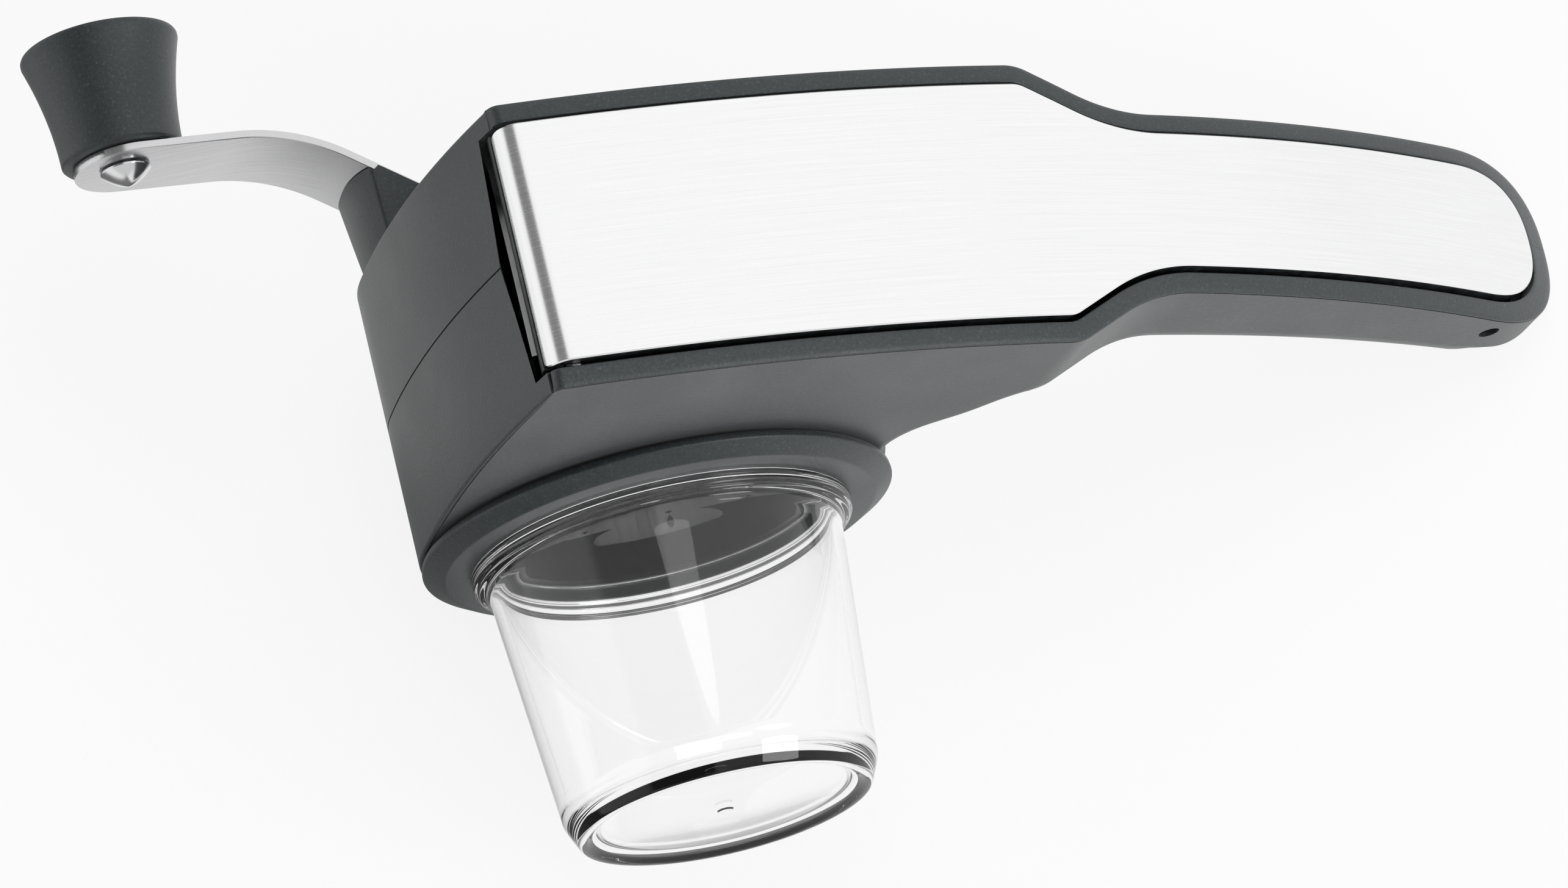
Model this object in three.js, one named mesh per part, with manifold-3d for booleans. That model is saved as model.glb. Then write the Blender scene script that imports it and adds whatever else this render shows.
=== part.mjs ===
// Hand cranked drum grater with a squeeze lever, a crank and a clear catch jar.
// Millimetres, +Z up. The drum turns about a line along Y, the jar is on its -Y side, the crank on its +Y
// side, and the handle runs towards +X. The grater lies as it does on a table: on the round of its housing
// and the tip of its handle, with the steel lever on top.
import * as THREE from 'three';
import * as BufferGeometryUtils from 'three/addons/utils/BufferGeometryUtils.js';
import Module from 'manifold-3d';

const wasm = await Module();
wasm.setup();

// Clearances
const gap = 0.3;            // between pieces that sit together
const runGap = 1.0;         // round what turns or swings past
const jarFit = 0.4;         // jar neck in the collar
const rimGap = 0.5;         // drum rim in the collar
const neckRoom = 7.16;      // between the hopper's back and the neck's inner wall
const beyond = 150;         // how far a cutting shape reaches past what it cuts

// Housing, seen along the drum's axis: drum centre at 0, 0
const wall = 2.4;
const bodyHalf = 26.7;      // half the width over the flat sides
const handleHalf = 17.3;
const sideInner = bodyHalf - wall;

// Drum; the collar, the jar's neck and the round of the housing take their sizes from it
const drumRadius = 32;
const drumSheet = 0.8;
const drumFrom = 0.1 - sideInner;
const hubRoom = 4.1;        // for the hub between the drum's end and the crank side wall
const drumTo = sideInner - hubRoom;
const hubSeat = 4;          // how far hub and rim sit in the drum
const hubBoss = 8;
const hubBossFoot = 8.6;
const hubDeep = 10;
const rimSeat = 3;
const rimLip = 0.7;
const rimReach = 3.5;       // rim past the drum's end
const toothRise = 1;
const toothBase = 1.6;
const toothHole = 0.9;
const toothCut = 24;        // slope of the tooth's cutting face
const toothMargin = 5;
const teethAround = 12;
const toothRows = 5;

// Collar and jar, along -Y from the flat side of the housing
const collarBore = drumRadius + 1.7;
const collarSpigot = collarBore + 2.3;
const collarStep = 1.9;     // outer edge above the housing's side
const collarHeight = 4.2;   // flat face above the housing's side
const collarBand = 9.8;     // from the bore to the outer edge
const collarChamfer = 3.6;
const jarNeck = collarBore - jarFit;
const jarWall = 1.9;
const jarBeadOut = 1.8;
const jarBeadHeight = 2.9;
const jarStep = 0.3;        // neck to the wall under the bead
const jarTaper = 4.1;
const jarHeelOut = 1.8;
const jarFootRing = 2.8;
const jarLength = 57.4;     // from the housing's side to the foot ring
const jarRecess = 0.8;      // depth inside the foot ring
const jarBase = 2.6;

// Outline of the housing
const housingRadius = collarBore + collarBand;
const noseRadius = 280;     // long arc of the nose
const noseLean = 7.3;       // degrees from the drum's centre to the middle of that arc
const topRadius = 320;      // long arc of the top, from the nose to the handle's tip
const topCrownX = -10;
const topCrownZ = 76.3;
const gripRadius = 325;     // long arc of the handle's underside
const gripCentreX = 6.5;
const gripCrownZ = 44.3;
const tipX = 180;
const tipLip = 1.4;         // depth of the rim at the handle's tip
const tipSolid = 9;         // the tip is solid over this length
const tipRiseX = 156;       // where the underside starts to rise to the tip
const tipControl = [162.5, 5.2];
const neckRadius = 12;      // hollow between the round housing and the neck
const neckAngle = 22.4;
const flareAngle = 35;      // slope of the neck's underside
const flareRounding = 4.9;
const edgeSmall = 1.2;      // rounding of the lower edges on the body
const edgeGrip = 8;         // and along the grip
const edgeFromX = 48;
const edgeToX = 62;

// Plan of the top: body, S-shaped shoulders, handle and its rounded end
const shoulderX = 57.5;
const shoulderOut = 10;     // outer radius of the shoulder
const shoulderIn = 35;      // inner radius, where the handle starts
const shoulderAngle = 27;
const endX = 158;           // where the round end starts
const endPower = 2.5;
const tipInset = 1.35;      // insets count for more at the tip
const bandWidth = 3;        // rim that frames the lever
const bandRise = 0.8;

// Lever
const pinX = -36.6;
const pinZ = 71.6;
const pinRadius = 2;
const barrelRadius = 5.6;
const plateInset = 4.4;
const plateRise = 2;
const plateSheet = 0.8;
const rollRadius = 4.5;
const rollX = -42;          // front of the plate's rolled edge
const rollFootZ = 72.3;
const plateCorner = 3.5;
const coreInset = 4.8;
const coreThick = 4;
const wellGap = 0.6;        // under the lever, where it rests in the rim
const slotEndZ = 68.9;      // upper edge of the nose at the slot's ends
const slotMidZ = 65.3;      // and at the middle, where it dips
const slotHalf = 22.9;

// Hopper and press foot
const chuteWall = 1.6;
const chuteTopZ = 68.5;
const chuteFront = [-29, -24.5];   // x of its front wall at the top and at the bottom
const chuteBottomZ = 20;
const footRoom = 2;         // between the drum's room and the foot's face
const footFrontX = -15;
const footHalf = 21.8;
const footWall = 2.2;

// Crank
const armLength = 84;
const armWidth = 18.6;
const armThick = 1.5;
const armKnobY = 50.6;      // underside of the strap at the knob
const armHubY = 31;         // and on the hub
const armSlope = 33;
const armBendTopX = -65;    // where the upper bend starts
const armBendRadius = 36;
const hubTipX = -46;
const hubBaseY = 27.5;
const hubDraft = 1.6;
const shaftRadius = 4;
const shaftSquare = 5.4;
const bushRadius = 6.4;
const bushFlange = 9;
const knobBase = 11.5;
const knobTop = 14.5;
const knobWaist = 10.6;
const knobHeight = 21;
const knobRim = 12.4;       // inside of the knob's upper rim
const capSink = 1.8;        // depth of the cap's seat
const rivetShank = 2.4;
const rivetHead = 4.6;
const rivetCone = 2.9;

// Screws of the housing: x, z
const drumScrewTurn = THREE.MathUtils.degToRad(-60);
const screwPlaces = {
  nose: [-34, 48],
  neck: [50, 49],
  handle: [120, 36],
  drum: [
    (housingRadius - 5.3) * Math.cos(drumScrewTurn),
    (housingRadius - 5.3) * Math.sin(drumScrewTurn),
  ],
};
const screwBoss = { nose: 4, neck: 4, handle: 4, drum: 3.1 };
const screwShank = 1.2;
const screwHead = 3;
const screwReach = 11;
const screwHeadDepth = 1.5;
const hangHole = [161, 21];
const hangRadius = 2;

const rad = THREE.MathUtils.degToRad;
const neckHollow = new THREE.Vector2(
  (housingRadius + neckRadius) * Math.cos(rad(neckAngle)),
  (housingRadius + neckRadius) * Math.sin(rad(neckAngle)),
);
// the hopper's back and the foot's back are round about the lever's pin
const chuteReach = neckHollow.distanceTo(new THREE.Vector2(pinX, pinZ)) - neckRadius - wall - neckRoom;
const footReach = chuteReach - chuteWall - runGap;
const coreTop = plateRise - plateSheet - gap;
const coreBottom = coreTop - coreThick;
const crownCentreZ = topCrownZ - topRadius;
const gripCentreZ = gripCrownZ - gripRadius;
const noseCentre = new THREE.Vector2(
  (noseRadius - housingRadius) * Math.cos(rad(noseLean)),
  (noseRadius - housingRadius) * Math.sin(rad(noseLean)),
);

const plastic = new THREE.MeshStandardMaterial({ color: 0x4a4c50, roughness: 0.6, metalness: 0 });
const glossBlack = new THREE.MeshStandardMaterial({ color: 0x17181a, roughness: 0.25, metalness: 0 });
const steel = new THREE.MeshStandardMaterial({ color: 0xc9cacc, roughness: 0.32, metalness: 1 });
const clear = new THREE.MeshStandardMaterial({ color: 0xf2f5f6, roughness: 0.05, metalness: 0,
  transparent: true, opacity: 0.35 });

// The whole grater in the drum's own frame; it is laid on the table at the end
const grater = new THREE.Group();

// A closed mesh whose shared vertices are merged becomes a solid
function solid(geometry) {
  const bare = geometry.index ? geometry.toNonIndexed() : geometry.clone();
  bare.deleteAttribute('normal');
  bare.deleteAttribute('uv');
  const merged = BufferGeometryUtils.mergeVertices(bare, 1e-4);
  const mesh = new wasm.Mesh({
    numProp: 3,
    vertProperties: new Float32Array(merged.attributes.position.array),
    triVerts: new Uint32Array(merged.index.array),
  });
  return new wasm.Manifold(mesh);
}

function geometryOf(manifold) {
  const mesh = manifold.getMesh();
  const geometry = new THREE.BufferGeometry();
  geometry.setAttribute('position', new THREE.BufferAttribute(mesh.vertProperties, 3));
  geometry.setIndex(new THREE.BufferAttribute(mesh.triVerts, 1));
  geometry.computeVertexNormals();
  return geometry;
}

function piece(name, form, material) {
  const mesh = new THREE.Mesh(geometryOf(form), material);
  mesh.name = name;
  grater.add(mesh);
}

// Extrudes a shape drawn in X and Z from y = from to y = to
function acrossY(shape, from, to, segments = 12) {
  const geometry = new THREE.ExtrudeGeometry(shape, {
    depth: to - from, bevelEnabled: false, curveSegments: segments,
  });
  return solid(geometry.rotateX(Math.PI / 2).translate(0, to, 0));
}

// A round bar along Y
function barY(radius, from, to, x = 0, z = 0, sides = 32, farRadius = radius) {
  const geometry = new THREE.CylinderGeometry(farRadius, radius, to - from, sides);
  return solid(geometry.translate(x, (from + to) / 2, z));
}

// Turns a profile of [radius, y] pairs about a line along Y
function turned(pairs, segments = 48) {
  const profile = pairs.map(([r, y]) => new THREE.Vector2(r, y));
  if (THREE.ShapeUtils.area(profile) < 0) profile.reverse();
  return solid(new THREE.LatheGeometry(profile, segments));
}

function block(x0, x1, y0, y1, z0, z1) {
  const geometry = new THREE.BoxGeometry(x1 - x0, y1 - y0, z1 - z0);
  return solid(geometry.translate((x0 + x1) / 2, (y0 + y1) / 2, (z0 + z1) / 2));
}

// Skins a row of rings that are the same on both sides of y = 0. Each ring is given by its +Y half
function mirroredLoft(halves) {
  const rings = halves.map((half) => [
    ...half,
    ...half.map((p) => new THREE.Vector3(p.x, -p.y, p.z)).reverse(),
  ]);
  const size = rings[0].length;
  const triangles = [];
  const quad = (a, b, c, d) => triangles.push(a, c, b, a, d, c);
  for (let k = 0; k + 1 < rings.length; k += 1) {
    for (let i = 0; i < size; i += 1) {
      const j = (i + 1) % size;
      quad(rings[k][i], rings[k][j], rings[k + 1][j], rings[k + 1][i]);
    }
  }
  const last = rings.length - 1;
  for (let i = 0; i + 1 < size / 2; i += 1) {
    const far = size - 1 - i;
    quad(rings[0][i], rings[0][far], rings[0][far - 1], rings[0][i + 1]);
    quad(rings[last][i], rings[last][i + 1], rings[last][far - 1], rings[last][far]);
  }
  return solid(new THREE.BufferGeometry().setFromPoints(triangles));
}

// Height of the long arc over the top, raised or lowered by rise
function topZ(x, rise = 0) {
  return crownCentreZ + Math.sqrt((topRadius + rise) ** 2 - (x - topCrownX) ** 2);
}

// Half the plan of the top, from the front to the tip, set in by inset. Arcs keep their centres
function planLine(inset, frontX, corner = 0) {
  const points = [];
  const body = bodyHalf - inset;
  if (corner > 0) {
    for (let k = 0; k <= 4; k += 1) {
      const turn = rad(90 * k / 4);
      points.push([frontX + corner * (1 - Math.cos(turn)), body - corner * (1 - Math.sin(turn))]);
    }
  } else {
    points.push([frontX, body]);
  }
  const bodySteps = 6;
  const bodyStart = topCrownX - 28;
  for (let k = 1; k < bodySteps; k += 1) {
    points.push([bodyStart + (shoulderX - bodyStart) * k / bodySteps, body]);
  }
  for (let k = 0; k <= 3; k += 1) {
    const turn = rad(shoulderAngle * k / 3);
    points.push([
      shoulderX + (shoulderOut - inset) * Math.sin(turn),
      bodyHalf - shoulderOut + (shoulderOut - inset) * Math.cos(turn),
    ]);
  }
  const angle = rad(shoulderAngle);
  const straightDrop = bodyHalf - handleHalf - (shoulderOut + shoulderIn) * (1 - Math.cos(angle));
  const handleX = shoulderX + (shoulderOut + shoulderIn) * Math.sin(angle) + straightDrop / Math.tan(angle);
  for (let k = 4; k >= 0; k -= 1) {
    const turn = rad(shoulderAngle * k / 4);
    points.push([
      handleX - (shoulderIn + inset) * Math.sin(turn),
      handleHalf + shoulderIn - (shoulderIn + inset) * Math.cos(turn),
    ]);
  }
  const gripSteps = 5;
  for (let k = 1; k <= gripSteps; k += 1) {
    points.push([handleX + (endX - handleX) * k / gripSteps, handleHalf - inset]);
  }
  const endSteps = 8;
  for (let k = 1; k <= endSteps; k += 1) {
    const reach = tipX - endX - inset * tipInset;
    const turn = rad(90 * k / endSteps);
    const along = Math.sin(turn);
    const across = Math.max(Math.cos(turn), 0);
    const scale = (along ** endPower + across ** endPower) ** (-1 / endPower);
    points.push([endX + reach * along * scale, Math.max((handleHalf - inset) * across * scale, 0.5)]);
  }
  return points;
}

// Half width of the plan at x, read off the same line
function halfWidth(x, inset) {
  const line = planLine(inset, -80);
  for (let k = 0; k + 1 < line.length; k += 1) {
    if (x <= line[k + 1][0]) {
      const share = (x - line[k][0]) / (line[k + 1][0] - line[k][0]);
      return THREE.MathUtils.lerp(line[k][1], line[k + 1][1], share);
    }
  }
  return 0.5;
}

// A solid between levels over the plan; each level has an inset and a height over the plan
function planSolid(levels, frontX, corner = 0) {
  return mirroredLoft(levels.map(({ inset, height }) => (
    planLine(inset, frontX, corner).map(([x, y]) => new THREE.Vector3(x, y, height(x)))
  )));
}

// Underside of neck and handle, from the end of the neck's hollow to the tip
function undersideLine(inset) {
  const start = neckHollow.clone().add(new THREE.Vector2(
    (neckRadius + inset) * Math.cos(rad(90 + flareAngle)),
    (neckRadius + inset) * Math.sin(rad(90 + flareAngle)),
  ));
  const slope = new THREE.Vector2(Math.cos(rad(flareAngle)), Math.sin(rad(flareAngle)));
  const toCentre = start.clone().sub(new THREE.Vector2(gripCentreX, gripCentreZ));
  const along = toCentre.dot(slope);
  const reach = -along + Math.sqrt(along ** 2 + (gripRadius + inset) ** 2 - toCentre.lengthSq());
  const corner = start.clone().addScaledVector(slope, reach);
  const grip = (x) => gripCentreZ + Math.sqrt((gripRadius + inset) ** 2 - (x - gripCentreX) ** 2);
  const path = new THREE.Path();
  path.moveTo(start.x, start.y);
  const before = corner.clone().addScaledVector(slope, -flareRounding);
  path.lineTo(before.x, before.y);
  const after = corner.x + flareRounding;
  path.quadraticCurveTo(corner.x, corner.y, after, grip(after));
  const points = path.getPoints(3);
  const gripSteps = 6;
  for (let k = 1; k <= gripSteps; k += 1) {
    const x = after + (tipRiseX - after) * k / gripSteps;
    points.push(new THREE.Vector2(x, grip(x)));
  }
  const tip = new THREE.Path();
  tip.moveTo(tipRiseX, grip(tipRiseX));
  tip.quadraticCurveTo(tipControl[0], tipControl[1] + inset, tipX, topZ(tipX) - tipLip + inset);
  points.push(...tip.getPoints(6).slice(1));
  return points;
}

// Points of an arc, angles in degrees
function arc(x, z, radius, from, to, steps) {
  const points = [];
  for (let k = 0; k <= steps; k += 1) {
    const turn = rad(from + (to - from) * k / steps);
    points.push(new THREE.Vector2(x + radius * Math.cos(turn), z + radius * Math.sin(turn)));
  }
  return points;
}

// Outline of the housing seen along the drum's axis. Past the neck's hollow gripForm trims it
function sideShape(inset) {
  const over = 100;
  const noseTop = THREE.MathUtils.radToDeg(Math.asin((over - noseCentre.y) / (noseRadius - inset)));
  const { x, y } = neckHollow;
  const hollow = arc(x, y, neckRadius + inset, 180 + neckAngle, 90 + flareAngle, 7);
  const end = hollow[hollow.length - 1];
  return new THREE.Shape([
    ...arc(noseCentre.x, noseCentre.y, noseRadius - inset, 180 - noseTop, 180 + noseLean, 9),
    ...arc(0, 0, housingRadius - inset, 180 + noseLean, 360 + neckAngle, 38).slice(1),
    ...hollow.slice(1),
    new THREE.Vector2(end.x, end.y - 20),
    new THREE.Vector2(tipX + 10, end.y - 60),
    new THREE.Vector2(tipX + 10, over),
  ]);
}

// Trough with rounded lower edges that trims neck and handle
function gripForm(inset) {
  const line = undersideLine(inset);
  const over = 110;
  const section = (x, z) => {
    const half = halfWidth(Math.min(x, endX), inset);
    const share = THREE.MathUtils.smoothstep(x, edgeFromX, edgeToX);
    const edge = edgeSmall + (edgeGrip - edgeSmall) * share - inset * share * 0.9;
    const points = [new THREE.Vector3(x, half + 4, over), new THREE.Vector3(x, half + 4, z + edge + 8)];
    for (let k = 0; k <= 3; k += 1) {
      const turn = rad(12 + 78 * k / 3);
      points.push(new THREE.Vector3(
        x,
        half - edge + edge * Math.cos(turn),
        z + edge - edge * Math.sin(turn),
      ));
    }
    return points;
  };
  const start = line[0];
  const end = line[line.length - 1];
  const rings = [[start.x - 1, -60], ...line.map((p) => [p.x, p.y]), [end.x + 5, end.y]];
  const handle = mirroredLoft(rings.map(([x, z]) => section(x, z)));
  return handle.add(block(-beyond, start.x - 0.5, -beyond, beyond, -beyond, over));
}

function housingForm(inset, levels) {
  const over = bodyHalf + 5;
  return acrossY(sideShape(inset), -over, over)
    .intersect(planSolid(levels, -70))
    .intersect(gripForm(inset));
}

const outer = housingForm(0, [
  { inset: 0, height: () => -beyond },
  { inset: 0, height: (x) => topZ(x) },
  { inset: bandWidth, height: (x) => topZ(x, bandRise) },
]);
const leverWell = planSolid([
  { inset: bandWidth, height: (x) => topZ(x, coreBottom - wellGap) },
  { inset: bandWidth, height: (x) => topZ(x, 12) },
], -70);
const cavity = housingForm(wall, [
  { inset: wall, height: () => -beyond },
  { inset: wall, height: (x) => topZ(x, -1.8) },
  { inset: bandWidth, height: (x) => topZ(x, -1.2) },
]).intersect(block(-beyond, tipX - tipSolid, -beyond, beyond, -beyond, beyond)).add(leverWell);

// Slot behind the nose: the nose's upper edge dips at the middle
function slotCut() {
  const shape = new THREE.Shape();
  shape.moveTo(-slotHalf, slotEndZ);
  shape.lineTo(0, slotMidZ);
  shape.lineTo(slotHalf, slotEndZ);
  shape.lineTo(slotHalf, 100);
  shape.lineTo(-slotHalf, 100);
  const depth = 30;
  const geometry = new THREE.ExtrudeGeometry(shape, { depth, bevelEnabled: false });
  // drawn in Y and Z, cut along X
  geometry.rotateY(Math.PI / 2).rotateX(Math.PI / 2);
  return solid(geometry.translate(pinX - depth, 0, 0));
}

function housingShell() {
  let shell = outer.subtract(cavity);
  for (const [place, [x, z]] of Object.entries(screwPlaces)) {
    const boss = barY(screwBoss[place], -halfWidth(x, 1), halfWidth(x, 1), x, z, 12);
    shell = shell.add(boss.intersect(outer));
  }
  const pinBoss = barY(barrelRadius, sideInner - 1.4, bodyHalf - 0.5, pinX, pinZ, 18)
    .add(barY(barrelRadius, -bodyHalf + 0.5, -sideInner + 1.4, pinX, pinZ, 18))
    .intersect(outer);
  const seat = barY(barrelRadius + runGap, -slotHalf, slotHalf, pinX, pinZ, 28);
  shell = shell.subtract(slotCut()).subtract(seat).add(pinBoss);
  const pinHole = barY(pinRadius + gap, -bodyHalf + 1, bodyHalf - 1, pinX, pinZ, 16);
  const hang = barY(hangRadius, -bodyHalf, bodyHalf, hangHole[0], hangHole[1], 16);
  return shell.subtract(pinHole).subtract(hang);
}

const shell = housingShell();

// The side wall that a screw's head is let into
function screwFace(x) {
  return halfWidth(x, 0);
}

function jarSideHalf() {
  let half = shell.intersect(block(-beyond, 2 * beyond, -beyond, -gap / 2, -beyond, beyond));
  half = half.subtract(barY(collarSpigot + gap, -bodyHalf - 1, -sideInner + 1, 0, 0, 48));
  for (const [x, z] of Object.values(screwPlaces)) {
    half = half.subtract(barY(screwShank + gap, -screwReach - 1, 1, x, z, 8));
  }
  return half;
}

function crankSideHalf() {
  let half = shell.intersect(block(-beyond, 2 * beyond, gap / 2, beyond, -beyond, beyond));
  half = half.subtract(barY(bushRadius + gap, sideInner - 1, bodyHalf + 1, 0, 0, 24));
  for (const [x, z] of Object.values(screwPlaces)) {
    half = half.subtract(barY(screwShank + gap, -1, bodyHalf + 1, x, z, 8));
    const face = screwFace(x);
    half = half.subtract(barY(screwHead + gap, face - screwHeadDepth - gap, face + 1, x, z, 14));
  }
  return half;
}

piece('housing_jar_side', jarSideHalf(), plastic);
piece('housing_crank_side', crankSideHalf(), plastic);

for (const [place, [x, z]] of Object.entries(screwPlaces)) {
  const faceY = screwFace(x) - 0.3;
  const slot = block(-2.2, 2.2, -0.9, 0.9, -0.4, 0.4).translate([x, faceY, z]);
  const screw = barY(screwShank, -screwReach, faceY - 0.5, x, z, 8)
    .add(barY(screwHead, faceY + 0.3 - screwHeadDepth, faceY, x, z, 14))
    .subtract(slot);
  piece(`housing_screw_${place}`, screw, steel);
}

// Collar: ring on the flat side, with a spigot through the wall
const sideY = -bodyHalf;
const collarBack = sideY - gap;
const collarFace = sideY - collarHeight;
piece('collar_ring', turned([
  [collarBore, collarFace], [collarBore, -sideInner], [collarSpigot, -sideInner],
  [collarSpigot, collarBack], [housingRadius - 0.6, collarBack], [housingRadius, collarBack - 0.5],
  [housingRadius, sideY - collarStep], [housingRadius - 0.3, sideY - collarStep - 0.3],
  [housingRadius - collarChamfer, collarFace], [collarBore, collarFace],
], 40), plastic);

// Bearing bush in the crank side wall
piece('shaft_bush', turned([
  [shaftRadius + gap, sideInner - 2], [bushFlange, sideInner - 2], [bushFlange, sideInner - gap],
  [bushRadius, sideInner - gap], [bushRadius, bodyHalf], [shaftRadius + gap, bodyHalf],
  [shaftRadius + gap, sideInner - 2],
], 20), glossBlack);

piece('lever_pin', barY(pinRadius, -bodyHalf + 1 + gap, bodyHalf - 1 - gap, pinX, pinZ, 16), steel);

// Feed chute: four walls over the drum, the back one round about the lever's pin
const chuteHalf = sideInner - gap;

function chuteShape(inset) {
  const shape = new THREE.Shape();
  const reach = chuteReach - inset;
  const angleAt = (z) => Math.asin((z - pinZ) / reach);
  const low = chuteBottomZ - (inset > 0 ? 5 : 0);
  const high = chuteTopZ + (inset > 0 ? 5 : 0);
  const front = (z) => THREE.MathUtils.mapLinear(
    z, chuteTopZ, chuteBottomZ, chuteFront[0], chuteFront[1]) + inset;
  shape.moveTo(front(high), high);
  shape.lineTo(front(low), low);
  shape.absarc(pinX, pinZ, reach, angleAt(low), angleAt(high), false);
  return shape;
}

const drumRoom = drumRadius + toothRise + runGap;
piece('feed_chute', acrossY(chuteShape(0), -chuteHalf, chuteHalf, 10)
  .subtract(acrossY(chuteShape(chuteWall), -chuteHalf + chuteWall, chuteHalf - chuteWall, 10))
  .subtract(barY(drumRoom, -beyond, beyond, 0, 0, 44)), plastic);

// Lever: steel plate over a black core that turns on the pin
function plateForm() {
  const shape = new THREE.Shape();
  const rise = (x) => topZ(x, plateRise);
  const centreX = rollX + rollRadius;
  const centreZ = rise(centreX) - rollRadius;
  const endsX = tipX + 5;
  const steps = 22;
  shape.moveTo(rollX, rollFootZ);
  shape.absarc(centreX, centreZ, rollRadius, Math.PI, Math.PI / 2, true);
  for (let k = 1; k <= steps; k += 1) {
    const x = centreX + (endsX - centreX) * k / steps;
    shape.lineTo(x, rise(x));
  }
  for (let k = steps; k >= 1; k -= 1) {
    const x = centreX + (endsX - centreX) * k / steps;
    shape.lineTo(x, topZ(x, plateRise - plateSheet));
  }
  shape.absarc(centreX, centreZ, rollRadius - plateSheet, Math.PI / 2, Math.PI, false);
  shape.lineTo(rollX + plateSheet, rollFootZ);
  const plan = planSolid([
    { inset: plateInset, height: () => -beyond },
    { inset: plateInset, height: () => beyond },
  ], rollX - 0.01, plateCorner);
  return acrossY(shape, -bodyHalf, bodyHalf, 6).intersect(plan);
}

piece('lever_plate', plateForm(), steel);

function coreForm() {
  const frontX = rollX + plateSheet + gap;
  const slab = planSolid([
    { inset: coreInset, height: (x) => topZ(x, coreBottom) },
    { inset: coreInset, height: (x) => topZ(x, coreTop) },
  ], frontX, plateCorner);
  const barrelHalf = slotHalf - gap - 0.6;
  const centreX = rollX + rollRadius;
  const centreZ = topZ(centreX, plateRise) - rollRadius;
  // the front of the slab is rounded inside the plate's roll
  const roundFront = barY(rollRadius - plateSheet - gap, -beyond, beyond, centreX, centreZ, 24)
    .add(block(centreX, 2 * beyond, -beyond, beyond, -beyond, beyond))
    .add(block(frontX, 2 * beyond, -beyond, beyond, -beyond, centreZ));
  const barrel = barY(barrelRadius, -barrelHalf, barrelHalf, pinX, pinZ, 24)
    .intersect(block(rollX - 1, beyond, -beyond, beyond, -beyond, rollFootZ - gap)
      .add(block(frontX, beyond, -beyond, beyond, -beyond, centreZ)));
  return slab.intersect(roundFront).add(barrel)
    .subtract(barY(pinRadius + gap, -beyond, beyond, pinX, pinZ, 16));
}

// Press foot: hollow block whose face follows the drum and whose back is round about the pin
const footFace = drumRoom + footRoom;

function footShape(inset) {
  const shape = new THREE.Shape();
  const top = (x) => topZ(x, coreBottom - gap);
  const reach = footReach - inset;
  const face = footFace + inset;
  const backTop = pinX + reach;
  const frontX = footFrontX + inset;
  // where the round back meets the round face
  const distance = Math.hypot(pinX, pinZ);
  const share = (reach ** 2 - face ** 2 - distance ** 2) / (2 * face * distance);
  const pinAngle = Math.atan2(pinZ, pinX);
  const faceEnd = pinAngle - Math.acos(-share);
  const frontAngle = Math.acos(frontX / face);
  shape.moveTo(frontX - 2, top(frontX - 2) + (inset > 0 ? 3 : 0));
  shape.lineTo(frontX, face * Math.sin(frontAngle));
  shape.absarc(0, 0, face, frontAngle, faceEnd, true);
  const start = Math.atan2(face * Math.sin(faceEnd) - pinZ, face * Math.cos(faceEnd) - pinX);
  const end = Math.asin((top(backTop) - pinZ) / reach);
  shape.absarc(pinX, pinZ, reach, start, end, false);
  if (inset > 0) shape.lineTo(backTop, top(backTop) + 3);
  for (let k = 3; k >= 1; k -= 1) {
    const x = frontX - 2 + (backTop - frontX + 2) * k / 4;
    shape.lineTo(x, top(x) + (inset > 0 ? 3 : 0));
  }
  return shape;
}

const footScrews = { front: -4, rear: 22 };
let core = coreForm();
let foot = acrossY(footShape(0), -footHalf, footHalf, 6)
  .subtract(acrossY(footShape(footWall), -footHalf + footWall, footHalf - footWall, 6));
for (const [place, x] of Object.entries(footScrews)) {
  const head = topZ(x, coreTop);
  const upright = (radius, from, to) => solid(
    new THREE.CylinderGeometry(radius, radius, to - from, 12)
      .rotateX(Math.PI / 2).translate(x, 0, (from + to) / 2));
  const bossTop = topZ(x, coreBottom) - gap - 0.4;
  foot = foot.add(upright(3.6, 0, bossTop).intersect(acrossY(footShape(0), -10, 10, 6)))
    .subtract(upright(1.5, bossTop - 12, bossTop + 5));
  core = core.subtract(upright(1.8, head - 10, head + 1)).subtract(upright(3.3, head - 2, head + 1));
  piece(`foot_screw_${place}`, upright(1.2, bossTop - 11, head - 1).add(upright(3, head - 1.7, head - 0.3)),
    steel);
}
piece('lever_core', core, glossBlack);
piece('press_foot', foot, plastic);

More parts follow.
